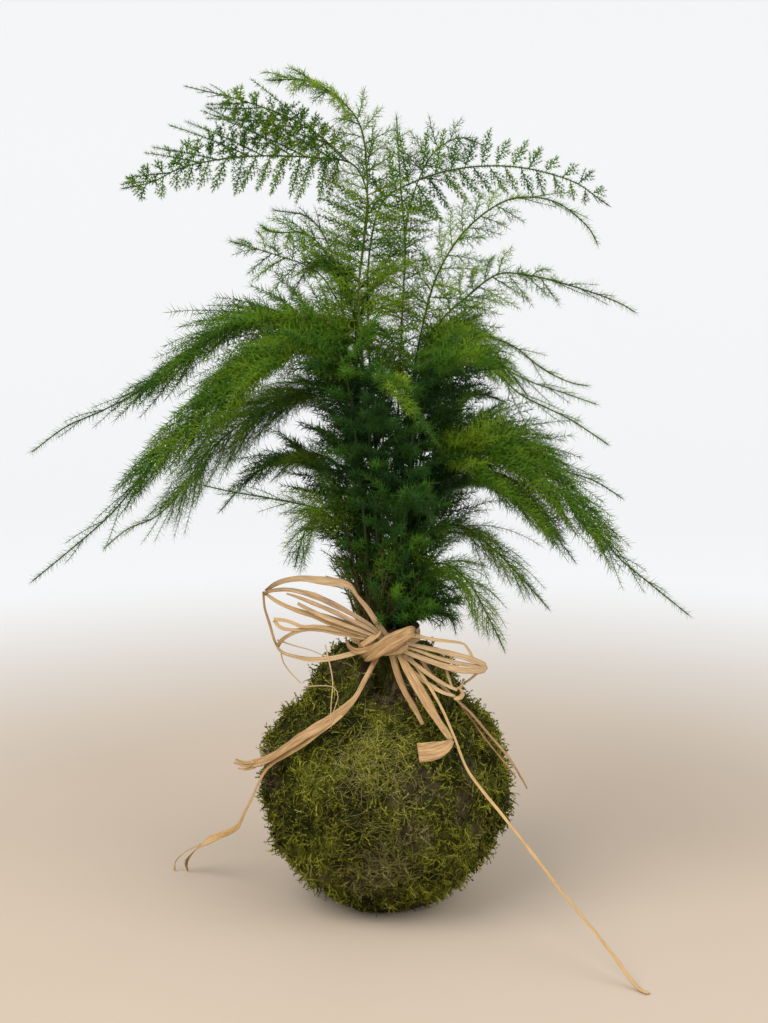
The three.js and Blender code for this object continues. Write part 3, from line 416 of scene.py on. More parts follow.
def moss_material():
    """Tones: how dry, how fresh, and a draw for each shoot. How fresh also carries painted shade on the skin
    and at the strands' roots, and painted highlight at their tips.
    """
    n = Nodes("sheet_moss")
    dry, fresh, draw = n.tones()
    place = n.place()
    fine = n.noise(place, 420.0)
    finest = n.noise(place, 1500.0)
    broad = n.noise(place, 48.0)
    light = n.math("ADD", fresh, n.spread(broad, 0.3, 0.7, -0.2, 0.2))
    light = n.math("ADD", light, n.spread(draw, 0.0, 1.0, -0.2, 0.2))
    light = n.math("ADD", light, n.spread(finest, 0.35, 0.65, -0.16, 0.16), clamp=True)
    green = n.ramp(light, [
        (0.0, rgb(0.018, 0.020, 0.004)), (0.3, rgb(0.115, 0.120, 0.012)),
        (0.65, rgb(0.33, 0.335, 0.030)), (1.0, rgb(0.60, 0.58, 0.085)),
    ])
    brown = n.mix(draw, rgb(0.030, 0.018, 0.008), rgb(0.40, 0.32, 0.16))
    colour = n.mix(dry, green, brown)
    colour = n.mix(n.spread(fine, 0.4, 0.7, 0.0, 0.25), colour, rgb(0.02, 0.02, 0.004))
    roughness = n.spread(fine, 0.3, 0.7, 0.7, 0.9)
    bumps = n.bump(finest, strength=0.6, distance_mm=0.5)
    return n.surface(colour, roughness, bumps, specular=0.08, through=0.12)


def raffia_material():
    """Tones: how shaded, how pale, and a draw for each strand. Grain: across, and drawn out along it."""
    n = Nodes("dry_raffia")
    shaded, pale, draw = n.tones()
    grain = n.vector("grain")
    fibres = n.noise(grain, 2.6, detail=4.0, roughness=0.7)
    flecks = n.noise(n.place(), 160.0)
    light = n.math("ADD", n.spread(fibres, 0.3, 0.68, 0.12, 0.8), n.spread(draw, 0.0, 1.0, -0.22, 0.2))
    straw = n.ramp(light, [
        (0.0, rgb(0.14, 0.068, 0.022)), (0.3, rgb(0.37, 0.205, 0.078)),
        (0.65, rgb(0.585, 0.38, 0.17)), (1.0, rgb(0.75, 0.56, 0.30)),
    ])
    straw = n.mix(n.math("MULTIPLY", pale, 0.6), straw, rgb(0.78, 0.66, 0.45))
    straw = n.mix(n.spread(draw, 0.55, 0.85, 0.0, 0.3), straw, rgb(0.62, 0.36, 0.11))
    stained = n.mix(n.spread(flecks, 0.5, 0.75, 0.0, 0.35), straw, rgb(0.30, 0.17, 0.08))
    colour = n.mix(shaded, stained, rgb(0.16, 0.08, 0.03))
    roughness = n.spread(fibres, 0.3, 0.7, 0.62, 0.42)
    bumps = n.bump(fibres, strength=0.45, distance_mm=0.35)
    return n.surface(colour, roughness, bumps, specular=0.4, through=0.15)


def soil_material():
    n = Nodes("potting_soil")
    crumbs = n.noise(n.place(), 330.0, detail=5.0, roughness=0.7)
    damp = n.noise(n.place(), 60.0)
    colour = n.ramp(crumbs, [
        (0.3, rgb(0.010, 0.007, 0.005)), (0.52, rgb(0.035, 0.022, 0.013)), (0.8, rgb(0.12, 0.075, 0.04)),
    ])
    colour = n.mix(n.spread(damp, 0.4, 0.7, 0.0, 0.5), colour, rgb(0.02, 0.014, 0.009))
    roughness = n.spread(damp, 0.3, 0.7, 0.95, 0.7)
    bumps = n.bump(crumbs, strength=0.9, distance_mm=1.2)
    return n.surface(colour, roughness, bumps, specular=0.25)


FOLIAGE = foliage_material()
MOSS = moss_material()
RAFFIA = raffia_material()
SOIL = soil_material()


# The fern. A root is its distance from the neck's middle and its bearing in degrees, a route
# runs from the neck's top to the tip, and the pinnae begin at leaf_from. Branches are fronds
# that leave the stem where it is nearest to their first point. Fingers above or below are long
# side twigs, about as long as long_pinna says. Finger alone is the share of the frond without
# pinnae, and dense is how close the pinnae stand.


def frond(pinna, fresh, leaf_from, route, **more):
    """The length of its longest pinnae, how light its green is, and where it runs."""
    return {"pinna": pinna, "fresh": fresh, "leaf_from": leaf_from, "route": route, **more}


LEAFY_STEMS = {
    "top_left": frond(
        22, 0.64, [-22, -2, 343], root=[4.4, 200], face=[0, -1, 0.25], fingers_above=True, long_pinna=46,
        route=[[-8, 1, 180], [-12, 2, 227], [-13, 2, 278], [-10, 2, 305], [-8, 1, 327], [-14, 0, 341],
               [-32, -4, 344], [-64, -8, 344], [-90, -11, 339], [-102, -13, 333], [-115, -15, 330]],
        branches=[frond(
            8, 0.64, [-26, -3, 351], face=[0, -1, 0.25], finger=0.3, fingers_below=True, long_pinna=42,
            route=[[-17, -1, 340], [-26, -3, 351], [-40, -5, 360], [-62, -8, 368], [-87, -10, 374]])]),
    "top_front": frond(
        28, 0.82, [-11, -8, 250], root=[4.4, 252], finger=0.05, dense=1.35,
        route=[[-8, -7, 227], [-12, -9, 285], [-10, -10, 306], [-8, -10, 330], [-11, -12, 357],
               [-18, -17, 366], [-32, -28, 374], [-49, -40, 373]]),
    "long_arch": frond(
        25, 0.64, [-7, 9, 305], root=[4.4, 100], face=[0, -1, 0.3],
        route=[[-4, 9, 200], [-8, 10, 270], [-7, 9, 305], [-1, 9, 326], [10, 9, 333], [32, 10, 340],
               [60, 12, 341], [87, 14, 334], [96, 15, 328], [102, 15, 324]]),
    "centre": frond(
        24, 0.68, [6, 13, 240], root=[4.4, 50], face=[0.3, -0.9, 0.2], finger=0.12,
        route=[[6, 12, 235], [8, 15, 281], [9, 18, 308], [7, 20, 332], [5, 20, 364]],
        branches=[frond(
            17, 0.6, [18, 22, 340], face=[0, -1, 0.2],
            route=[[9, 18, 312], [13, 20, 330], [22, 22, 348], [34, 23, 355], [44, 24, 352]])]),
    "right_upper": frond(
        30, 0.85, [16, -8, 262], root=[4.4, 306], finger=0.36,
        route=[[11, -7, 237], [17, -9, 272], [23, -13, 293], [35, -17, 312], [51, -20, 324],
               [63, -22, 326], [75, -25, 323], [88, -28, 312], [91, -30, 306]]),
    "right_high": frond(
        29, 0.75, [24, 3, 268], root=[4.4, 0], finger=0.4,
        route=[[15, 3, 236], [24, 3, 270], [36, 4, 282], [51, 6, 293], [62, 8, 293], [84, 9, 288],
               [107, 10, 280], [114, 10, 276]]),
    "left_high": frond(
        18, 0.75, [-17, 6, 245], root=[4.4, 150],
        route=[[-15, 6, 230], [-19, 7, 270], [-23, 8, 298], [-34, 11, 318], [-51, 15, 322]],
        branches=[
            frond(20, 0.7, [-40, 7, 300], [[-20, 7, 278], [-31, 6, 294], [-51, 8, 302], [-71, 10, 308]]),
            frond(17, 0.85, [-34, -5, 309],
                  [[-22, 8, 292], [-27, 2, 303], [-36, -8, 311], [-49, -17, 311], [-54, -25, 314]])]),
    "left_long": frond(
        34, 0.64, [-22, -4, 258], root=[8.6, 187], dense=1.55,
        route=[[-17, -3, 227], [-21, -4, 255], [-33, -5, 270], [-58, -7, 273], [-74, -8, 267],
               [-107, -12, 243], [-128, -15, 232], [-142, -17, 226], [-157, -20, 215]],
        branches=[frond(
            27, 0.7, [-30, -7, 264], dense=1.5, finger=0.1,
            route=[[-21, -4, 255], [-32, -8, 265], [-48, -14, 262], [-66, -18, 251], [-84, -21, 238]])]),
    "left_front": frond(
        32, 0.69, [-24, -16, 256], root=[8.6, 221], dense=1.7,
        route=[[-13, -11, 215], [-19, -14, 250], [-30, -18, 262], [-46, -22, 260], [-72, -30, 239],
               [-98, -39, 215], [-118, -47, 191], [-134, -51, 177], [-150, -60, 164]]),
    "left_back": frond(
        35, 0.72, [-24, 14, 236], root=[8.6, 152], dense=1.9,
        route=[[-15, 9, 200], [-20, 13, 232], [-30, 15, 240], [-48, 17, 236], [-84, 21, 210],
               [-95, 23, 194], [-109, 26, 179], [-124, 28, 172], [-135, 30, 163]]),
    "right_back": frond(
        17, 0.92, [24, 17, 258], root=[8.6, 22], finger=0.6,
        route=[[15, 12, 226], [24, 17, 258], [34, 21, 266], [45, 25, 265], [61, 29, 259],
               [74, 32, 249], [88, 36, 242], [97, 40, 240]],
        branches=[frond(
            11, 0.85, [48, 22, 256], finger=0.66,
            route=[[36, 22, 266], [50, 22, 254], [66, 25, 244], [83, 27, 238], [100, 30, 232]])]),
    "right_middle": frond(
        22, 0.85, [22, -5, 250], root=[8.6, 345], finger=0.6,
        route=[[15, -3, 215], [22, -5, 250], [32, -7, 260], [49, -10, 250], [60, -12, 240],
               [82, -14, 229], [99, -15, 218]]),
    "right_inner": frond(
        20, 0.3, [24, 21, 226], root=[8.6, 50],
        route=[[14, 13, 190], [18, 17, 213], [28, 24, 232], [44, 33, 237], [58, 41, 232]]),
    "front": frond(
        13, 0.65, [0, -42, 244], root=[8.6, 265], face=[0.2, -0.5, 0.8],
        route=[[-1, -15, 180], [-1, -28, 222], [0, -44, 246], [3, -56, 248], [10, -67, 239],
               [21, -80, 225]]),
    "back_left": frond(
        26, 0.6, [-16, 34, 280], root=[8.6, 116], face=[0, 0.4, 0.9], dense=0.9,
        route=[[-6, 15, 200], [-10, 22, 245], [-18, 38, 284], [-30, 60, 298], [-40, 80, 294],
               [-48, 96, 282]]),
    "back_right": frond(
        28, 0.6, [19, 38, 252], root=[8.6, 82], face=[0, 0.4, 0.9], dense=0.9,
        route=[[7, 17, 190], [12, 26, 230], [22, 44, 258], [34, 62, 268], [46, 82, 264],
               [58, 102, 250]]),
    "front_right": frond(
        22, 0.6, [22, -32, 254], root=[8.6, 308],
        route=[[10, -13, 190], [14, -22, 236], [22, -32, 255], [35, -45, 262], [48, -58, 256],
               [58, -68, 244]]),
    "low_left_back": frond(
        25, 0.85, [-19, 13, 198], root=[12.7, 155], finger=0.3, dense=1.2,
        route=[[-15, 9, 175], [-19, 13, 198], [-29, 17, 209], [-42, 21, 207], [-54, 25, 196]]),
    "low_left": frond(
        17, 0.8, [-20, -3, 178], root=[12.7, 184], finger=0.6,
        route=[[-15, -1, 160], [-19, -2, 176], [-30, -4, 186], [-53, -6, 192], [-69, -8, 195],
               [-85, -10, 199]]),
    "low_front_left": frond(
        24, 0.84, [-19, -11, 180], root=[12.7, 214], finger=0.2, dense=1.4,
        route=[[-14, -9, 160], [-19, -11, 180], [-27, -13, 189], [-36, -15, 179], [-41, -17, 162]]),
    "low_right_long": frond(
        36, 0.75, [24, -8, 213], root=[12.7, 340], dense=1.6,
        route=[[15, -6, 180], [20, -7, 206], [28, -9, 218], [40, -11, 220], [56, -15, 214],
               [76, -19, 198], [92, -25, 183], [103, -29, 169], [114, -33, 160], [133, -40, 145]],
        branches=[frond(
            25, 0.7, [30, -11, 212], dense=1.3, finger=0.1,
            route=[[20, -7, 206], [32, -12, 211], [48, -17, 204], [63, -21, 192], [77, -25, 177]])]),
    "low_right": frond(
        34, 0.6, [24, 8, 206], root=[12.7, 2], dense=1.7, finger=0.42,
        route=[[16, 4, 180], [22, 7, 204], [37, 9, 215], [53, 10, 217], [67, 10, 213],
               [80, 10, 204], [97, 10, 198], [110, 10, 190]],
        branches=[frond(
            15, 0.4, [60, 13, 196],
            route=[[36, 9, 214], [47, 12, 205], [62, 15, 193], [78, 18, 174], [90, 20, 158]])]),
    "low_right_back": frond(
        28, 0.82, [22, 10, 172], root=[12.7, 24], dense=1.35,
        route=[[16, 9, 158], [22, 10, 172], [34, 11, 177], [45, 13, 170], [55, 15, 161],
               [65, 17, 150], [78, 20, 135]]),
    "low_right_front": frond(
        23, 0.82, [18, -11, 161], root=[12.7, 318], dense=1.4,
        route=[[13, -10, 150], [18, -11, 161], [27, -14, 163], [37, -18, 156], [46, -24, 141],
               [53, -30, 127]]),
    "low_right_short": frond(
        18, 0.76, [16, 12, 153], root=[12.7, 46], dense=1.3,
        route=[[11, 10, 146], [16, 12, 154], [24, 13, 148], [31, 12, 134], [33, 11, 126]]),
    "low_back": frond(
        30, 0.5, [-4, 40, 218], root=[12.7, 98], face=[0, 0.4, 0.9],
        route=[[-3, 18, 170], [-4, 30, 205], [-6, 48, 222], [-10, 70, 219], [-14, 92, 203],
               [-18, 110, 184]]),
    "low_back_right": frond(
        27, 0.45, [22, 29, 186], root=[12.7, 69], face=[0, 0.3, 0.9],
        route=[[8, 18, 160], [16, 25, 180], [30, 36, 192], [46, 50, 193], [62, 64, 183],
               [78, 80, 164]]),
    "low_back_left": frond(
        28, 0.45, [-28, 28, 198], root=[12.7, 127], face=[0, 0.3, 0.9],
        route=[[-12, 15, 170], [-20, 22, 190], [-34, 33, 203], [-50, 46, 204], [-66, 60, 194],
               [-84, 74, 174]]),
    "low_front": frond(
        15, 0.3, [8, -34, 194], root=[12.7, 288],
        route=[[6, -18, 165], [8, -27, 186], [11, -38, 197], [15, -50, 198], [20, -62, 189]]),
}

DEFAULT_FACE = [0, -0.6, 0.8]

# How each kind of frond is leafed, in millimetres and degrees. Fans at the top carry small
# fir-shaped pinnae, square to the frond. Airy fronds below them carry open, drooping sprays.
# Plumes are long, dense and soft, with pinnae that sweep forward, and haze is a plume with finer
# needles. Heart is for the twigs inside the plant. The last share of a frond, its finger, has
# needles but hardly any pinnae. Pitches are distances along a twig, needle and pinnule are
# lengths, width is a needle's, and lean is the pinnae's angle to the frond. Sweep and droop say
# how far they bend forward and down, bare is their share without pinnules, and every so many of
# them, as long_every says, is a long one.
FAN = dict(needle=2.3, finger_needle=2.2, width=0.66, pairs=2, tuft_pitch=1.3, pinnule=5.6,
           pinnule_pitch=1.4, conical=True, pinna_pitch=3.7, finger=0.07, lean=80, sweep=0.1,
           droop=0.05, bare=0.04, long_every=0)
AIRY = dict(needle=3.6, finger_needle=4.0, width=0.43, pairs=1, tuft_pitch=0.95, pinnule=8.0,
            pinnule_pitch=2.1, conical=False, pinna_pitch=3.8, finger=0.28, lean=74, sweep=0.3,
            droop=0.45, bare=0.15, long_every=0)
PLUME = dict(needle=5.2, finger_needle=3.9, width=0.56, pairs=1, tuft_pitch=1.15, pinnule=9.0,
             pinnule_pitch=2.2, conical=False, pinna_pitch=2.7, finger=0.36, lean=42, sweep=0.8,
             droop=0.15, bare=0.3, long_every=5)
HAZE = dict(needle=4.8, finger_needle=3.8, width=0.31, pairs=1, tuft_pitch=1.05, pinnule=9.0,
            pinnule_pitch=2.3, conical=False, pinna_pitch=2.6, finger=0.3, lean=52, sweep=0.65,
            droop=0.4, bare=0.2, long_every=6)
HEART = dict(needle=5.2, width=0.6, pairs=1, tuft_pitch=1.2, pinnule=8.5, pinnule_pitch=3.15,
             conical=False, sweep=0.3, bare=0.12)
KINDS = {
    "top_left": FAN, "long_arch": FAN,
    "top_front": AIRY, "centre": AIRY, "right_upper": AIRY, "right_high": AIRY, "left_high": AIRY,
    "left_back": HAZE, "right_back": HAZE, "low_left_back": HAZE, "low_left": HAZE, "low_front_left": HAZE,
    "low_right_back": HAZE, "low_right_front": HAZE, "low_right_short": HAZE,
}
PINNA_RADII = (0.26, 0.1)
LONG_TWIG_RADII = (0.34, 0.12)
FINGER_RADII = (0.22, 0.1)
PINNULE_CORE_WIDTH = 0.26
NEEDLE_LEAN = (0.65, 1.25)
TIP_LEAN = (0.25, 0.5)
LONG_TWIG_DEGREES = (22, 32)
FINGER_WIDTH = 0.29
FINGER_PITCH = 0.95
SIDE_FINGER_PLACES = (0.06, 0.2, 0.36, 0.55)
SPREAD = (0.85, 1.15)
LIGHT_SPREAD = (-0.12, 0.14)

# Heights between which the inner twigs change: from few to many, from common to woody, and from common to
# the canopy's lighter ones. The crowded twigs are painted darker, as painted shade, and the canopy's are
# painted lighter, as painted light.
HEART_TOP_Z = (312, 268)
HEART_FOOT_Z = (185, 150)
CANOPY_Z = (232, 262)

FIRST_STEM_SEED = 500
NECK_SEED = 560
NECK_TWIGS = 250
NECK_TWIGS_REACH = 13.2


class Fern:
    """One leafy stem with its fronds, pinnae, pinnules and tufts of needles."""

    def __init__(self, seed, kind):
        self.shape = Shape()
        self.random = np.random.default_rng(seed)
        self.kind = kind

    def draw(self, low, high, size=None):
        return self.random.uniform(low, high, size)

    def tufts(self, line_points, tone, reach, width, pairs, pitch, start=0.8):
        """Pairs of needles all along a twig, turned from one to the next, and a pair at its tip."""
        steps = np.linalg.norm(np.diff(line_points, axis=0), axis=1)
        run = np.concatenate([[0], np.cumsum(steps)])
        s = np.arange(start, run[-1], pitch)
        s = np.concatenate([s + self.draw(-0.3, 0.3, len(s)), [run[-1]]])
        at = read(line_points, run, s)
        along = unit(read(line_points, run, s + 0.6) - read(line_points, run, s - 0.6))
        helper = np.where(np.abs(along[:, 2:]) < 0.9, UP, RIGHT)
        side = unit(np.cross(along, helper))
        over = np.cross(along, side)
        far = s / run[-1]
        taper = 1 - 0.25 * far
        woody, fresh, draw = tone
        tones = tones_of(woody, fresh - 0.05 + 0.12 * far, draw)
        for k in range(pairs):
            angle = (math.pi * k / pairs + self.draw(-0.5, 0.5, len(s)) + 1.3 * np.arange(len(s)))[:, None]
            aside = side * np.cos(angle) + over * np.sin(angle)
            ways, lengths = [], []
            for sign in (1, -1):
                lean = self.draw(*NEEDLE_LEAN, len(s))[:, None]
                lean[-1] = self.draw(*TIP_LEAN)
                ways.append(along * np.cos(lean) + sign * aside * np.sin(lean))
                lengths.append(reach * self.draw(0.7, 1.2, len(s)) * (0.5 + 0.5 * taper))
            self.shape.needle_pairs(at, along, aside, *ways, *lengths, width * taper, tones)

    def bent(self, start, direction, towards, reach, droop, steps, sweep=0.45):
        """Points of a twig that sets off in one direction and bends towards another."""
        points = [start]
        for i in range(steps):
            t = (i + 0.5) / steps
            way = unit(direction * (1 - sweep * t) + towards * sweep * t - UP * droop * t)
            points.append(points[-1] + way * reach / steps)
        return np.array(points)

    def pinna(self, start, direction, towards, out, reach, fresh, kind, droop=0.2, woody=0.55, bare=None,
              fineness=1.0):
        """A twig with needles all along, and with pinnules left and right by turns up to near its tip."""
        draw = self.draw(0, 1)
        steps = 6 if reach > 14 else 4
        points = self.bent(start, direction, towards, reach, droop, steps, kind["sweep"])
        radii = np.linspace(*PINNA_RADII, len(points))
        self.shape.tube(points, radii, TWIG_SIDES, (woody, fresh * 0.7, draw))
        along = unit(points[-1] - points[0])
        across = unit(np.cross(along, out))
        run = np.linspace(0, reach, len(points))
        side = 1 if self.draw(0, 1) > 0.5 else -1
        s = self.draw(0.8, 2.0)
        leafed = reach * (1 - (kind["bare"] if bare is None else bare))
        width = kind["width"] * fineness
        roots, ways, lengths = [], [], []
        while s < leafed - 1.0:
            if kind["conical"]:
                length = (kind["pinnule"] * (1 - s / leafed) + 0.7) * self.draw(0.85, 1.1)
            else:
                length = min(kind["pinnule"], 0.35 * (leafed - s) + 2.0) * self.draw(0.75, 1.15)
            root = read(points, run, s)
            roll = self.draw(-1.0, 1.0)
            way = unit(along * 0.75 + to_side(across, out, side, roll) * 0.66)
            twig = self.bent(root, way, along, length, droop=0.1, steps=2)
            needle = kind["needle"] * 0.88
            self.tufts(twig, (0, fresh, draw), needle, width, kind["pairs"], kind["tuft_pitch"])
            roots.append(root)
            ways.append(twig[-1] - root)
            lengths.append(np.linalg.norm(twig[-1] - root))
            side = -side
            s += kind["pinnule_pitch"] * self.draw(0.8, 1.2)
        if roots:
            tone = (woody * 0.6, fresh * 0.8, draw)
            self.shape.needles(np.array(roots), np.array(ways), lengths, PINNULE_CORE_WIDTH, tone)
        tone = (0, fresh - 0.05, draw)
        self.tufts(points, tone, kind["needle"], width, kind["pairs"], kind["tuft_pitch"], start=1.5)

    def long_finger(self, start, direction, towards, out, reach, fresh):
        """A long side twig of a fan: small fir-shaped twigs on its inner part, then a slim tip."""
        points = self.bent(start, direction, towards, reach, droop=0.0, steps=8, sweep=0.25)
        draw = self.draw(0, 1)
        radii = np.linspace(*LONG_TWIG_RADII, len(points))
        self.shape.tube(points, radii, TWIG_SIDES, (0.7, fresh * 0.7, draw))
        run = np.linspace(0, reach, len(points))
        along = unit(points[-1] - points[0])
        across = unit(np.cross(along, out))
        side = 1
        s = 3.0
        leafed = reach * 0.68
        while s < leafed:
            root = read(points, run, s)
            roll = self.draw(-0.4, 0.4)
            way = unit(along * 0.35 + to_side(across, out, side, roll))
            size = (4.2 * (1 - s / leafed) + 3.0) * self.draw(0.85, 1.1)
            light = fresh + self.draw(-0.08, 0.08)
            self.pinna(root, way, along, out, size, light, FAN, droop=0.0, woody=0.5)
            side = -side
            s += 2.8 * self.draw(*SPREAD)
        tone = (0, fresh - 0.1, draw)
        self.tufts(points, tone, reach=2.6, width=0.42, pairs=2, pitch=0.9, start=2.0)

    def leaf_out(self, line, frond):
        """Pinnae left and right by turns along a frond, and then its finger."""
        kind = self.kind
        face = unit(np.array(frond.get("face", DEFAULT_FACE), float))
        begin = line.nearest(frond["leaf_from"])
        leafy = line.length - begin
        finger = leafy * frond.get("finger", kind["finger"])
        inner = leafy - finger
        fresh = frond["fresh"]
        side = 1
        count = 0
        s = begin - 4
        while s < begin + inner:
            u = max(0, (s - begin) / inner)
            base = 0.82 + 0.18 * min(1, u / 0.15)
            shorter = 0.8 if kind["conical"] else 0.62
            reach = max(5.0, frond["pinna"] * base * (1.08 - shorter * u) * self.draw(*SPREAD))
            count += 1
            is_long = kind["long_every"] and count % kind["long_every"] == 2 and u > 0.2
            along = line.along(s)
            across = unit(np.cross(along, face))
            out = np.cross(across, along)
            roll = self.draw(-0.5, 0.5) if kind["sweep"] > 0.2 else self.draw(-0.25, 0.25)
            level = to_side(across, out, side, roll)
            lean = math.radians(kind["lean"] * (1 - 0.25 * u) * self.draw(0.88, 1.12))
            light = fresh + self.draw(*LIGHT_SPREAD)
            long_side = frond.get("fingers_above" if level[2] > 0 else "fingers_below")
            is_small = long_side and count // 2 % 3 == 2
            if long_side and not is_small:
                lean = math.radians(self.draw(*LONG_TWIG_DEGREES))
                reach = max(5.0, frond["long_pinna"] * (1.2 - 0.98 * u) * self.draw(0.9, 1.1))
            elif is_long and not long_side:
                lean *= 0.6
            start = line.at(s)
            direction = along * math.cos(lean) + level * math.sin(lean)
            if is_small:
                self.pinna(start, direction, along, out, 8 - 3 * u, light, kind)
            elif long_side:
                self.long_finger(start, direction, along, out, reach, light)
            elif is_long:
                self.pinna(start, direction, along, out, reach * 1.5, light - 0.1, kind, kind["droop"],
                           bare=0.6, fineness=0.8)
            else:
                self.pinna(start, direction, along, out, reach, light, kind, kind["droop"],
                           fineness=1.05 - 0.3 * u)
            side = -side
            s += kind["pinna_pitch"] * (0.8 + 0.3 * u) * self.draw(*SPREAD) / frond.get("dense", 1)
        rachis = line.at(np.linspace(begin, begin + inner, 24))
        tone = (0, fresh, 0.5)
        self.tufts(rachis, tone, kind["needle"], kind["width"], pairs=2, pitch=kind["tuft_pitch"])
        if finger > 6:
            self.finger(line, line.length - finger, face, fresh)

    def finger(self, line, begin, face, fresh):
        """The outer end of a frond: needles that stand well out of it, and a few short side fingers."""
        kind = self.kind
        points = line.at(np.linspace(begin, line.length, 16))
        reach = kind["finger_needle"]
        # The finger's needles, here and on its side fingers, are painted darker than the frond's: painted
        # shade of tips seen against the bright back.
        self.tufts(points, (0, fresh - 0.12, 0.4), reach, FINGER_WIDTH, pairs=2, pitch=FINGER_PITCH)
        side = 1
        for share in SIDE_FINGER_PLACES:
            s = begin + share * (line.length - begin)
            along = line.along(s)
            across = unit(np.cross(along, face))
            direction = unit(along + across * side * self.draw(0.35, 0.7))
            size = (line.length - s) * self.draw(0.35, 0.5)
            droop = self.draw(-0.1, 0.2)
            twig = self.bent(line.at(s), direction, along, size, droop, steps=5, sweep=0.5)
            radii = np.linspace(*FINGER_RADII, len(twig))
            self.shape.tube(twig, radii, TWIG_SIDES, (0.5, fresh * 0.6, 0.5))
            tone = (0, fresh - 0.12, self.draw(0, 1))
            self.tufts(twig, tone, reach * 0.92, FINGER_WIDTH, pairs=1, pitch=FINGER_PITCH)
            side = -side

    def inner_twigs(self, line, low_z, end, fresh):
        """Short leafy twigs on the lower stem, which fill the plant's dark heart. Their green is painted
        darker where they crowd, as painted shade, and lighter in the canopy, as painted light.
        """
        heights = line.at(line.run)[:, 2]
        s = line.run[np.argmax(heights > low_z)] + self.draw(0, 5)
        while s < end - 2:
            at = line.at(s)
            along = line.along(s)
            outward = unit(at * LEVEL + 1e-6)
            loose = level_way(self.draw(0, 2 * math.pi))
            direction = unit(along * 0.5 + outward * 0.5 + loose * 0.8)
            out = unit(np.cross(direction, np.cross(UP, direction)))
            crowded = smoothstep(at[2], *HEART_TOP_Z)
            near_foot = smoothstep(at[2], *HEART_FOOT_Z)
            canopy = smoothstep(at[2], *CANOPY_Z) * crowded
            direction = unit(direction - along * 0.35 * canopy)
            reach = self.draw(15, 32) * (1 - 0.45 * near_foot) + 10 * canopy
            if direction[1] < -0.3 and near_foot > 0.3:
                reach *= 0.6
            brown = 0.75 * near_foot * (1 if at[0] < 2 else 0.25)
            # Painted shade and light: darker where the twigs crowd in the heart, lighter above it and in the
            # canopy.
            light = fresh + self.draw(*LIGHT_SPREAD) + 0.2 * (1 - crowded) + 0.35 * canopy + 0.4 * near_foot
            self.pinna(at, direction, along, out, reach, light, HEART, droop=0.45, woody=max(0.5, brown))
            s += self.draw(3.9, 6.4) * (1 + 1.8 * (1 - crowded))

    def stem(self, line, radius, tip_radius, woody_below):
        s = np.concatenate([np.arange(0, line.length - 2, STEM_STEP), [line.length]])
        points = line.at(s)
        radii = np.interp(s / line.length, [0, 0.45, 1], [radius, (radius + tip_radius) / 2.2, tip_radius])
        tone = np.zeros((len(s), 3))
        tone[:, 0] = np.interp(points[:, 2], [woody_below, woody_below + 60], [1.0, 0.6])
        tone[:, 0] *= 1 - 0.5 * smoothstep(points[:, 0], -4, 4) * smoothstep(points[:, 2], 300, 260)
        tone[:, 1] = 0.2
        tone[:, 2] = self.draw(0, 1)
        self.shape.tube(points, radii, STEM_SIDES, np.repeat(tone, STEM_SIDES, axis=0))


def leafy_stem(name, stem, seed):
    fern = Fern(seed, KINDS.get(name, PLUME))
    distance, bearing = stem["root"]
    foot = level_way(math.radians(bearing)) * distance
    main = Line([foot + UP * STEM_FOOT_Z, foot + UP * (NECK_TOP_Z + 2), *stem["route"]])
    fern.stem(main, STEM_RADIUS, STEM_TIP_RADIUS, woody_below=150)
    fern.leaf_out(main, stem)
    first_twig_z = 138 if foot[0] > 2 else 152
    # The inner twigs start from a dark green, painted shade of the plant's heart.
    fern.inner_twigs(main, first_twig_z, main.nearest(stem["leaf_from"]), fresh=0.2)
    for branch in stem.get("branches", []):
        start = main.at(main.nearest(branch["route"][0]))
        line = Line([start, *branch["route"][1:]])
        fern.stem(line, BRANCH_RADIUS, BRANCH_TIP_RADIUS, woody_below=0)
        fern.leaf_out(line, branch)
    return fern.shape


def neck_twigs():
    """Thin curved twigs that crowd between the stems: brown at the left, leafy at the right."""
    fern = Fern(NECK_SEED, PLUME)
    for _ in range(NECK_TWIGS):
        outward = level_way(fern.draw(0, 2 * math.pi))
        distance = NECK_TWIGS_REACH * math.sqrt(fern.draw(0.1, 1))
        foot = outward * distance + UP * (NECK_TOP_Z - 1)
        towards = unit(UP * 0.7 + outward * 0.2 + fern.draw(-0.8, 0.8, 3))
        way = unit(UP + outward * fern.draw(-0.1, 0.3) + fern.draw(-0.3, 0.3, 3))
        is_leafy = foot[0] > fern.draw(-5, 7)
        droop = 0.1
        if is_leafy and distance > 9:
            droop = fern.draw(0.1, 0.9)
            way = unit(way + outward * fern.draw(0, 0.7))
            towards = unit(outward + UP * 0.2)
        reach = fern.draw(16, 44) * (1 - 0.4 * droop)
        points = fern.bent(foot, way, towards, reach, droop, steps=8, sweep=0.9)
        draw = fern.draw(0, 1)
        woody = 0.0 if is_leafy else fern.draw(0.5, 1.0)
        light = fern.draw(0.16, 0.5) if is_leafy else fern.draw(0.4, 1.0)
        if foot[0] < -7:
            woody *= 0.4
        radius = fern.draw(0.26, 0.5)
        bark = 0.35 if is_leafy else 1.0
        fern.shape.tube(points, np.linspace(radius, 0.18, len(points)), 4, (bark, light, draw))
        if is_leafy:
            fern.tufts(points[1:], (woody, light, draw), reach=5.0, width=0.6, pairs=1, pitch=0.95)
        elif draw > 0.35:
            fern.tufts(points[1:], (woody, light, draw), reach=3.6, width=0.36, pairs=1, pitch=1.6)
    return fern.shape


for index, (name, stem) in enumerate(LEAFY_STEMS.items()):
    shape = leafy_stem(name, stem, FIRST_STEM_SEED + index)
    make_piece(f"fern_{name}", shape, FOLIAGE, [f"leafy_stem_{name}"])
make_piece("fern_neck_twigs", neck_twigs(), FOLIAGE)


# The moss: a cushioned skin round the soil, parted at the front of the neck, with its shoots


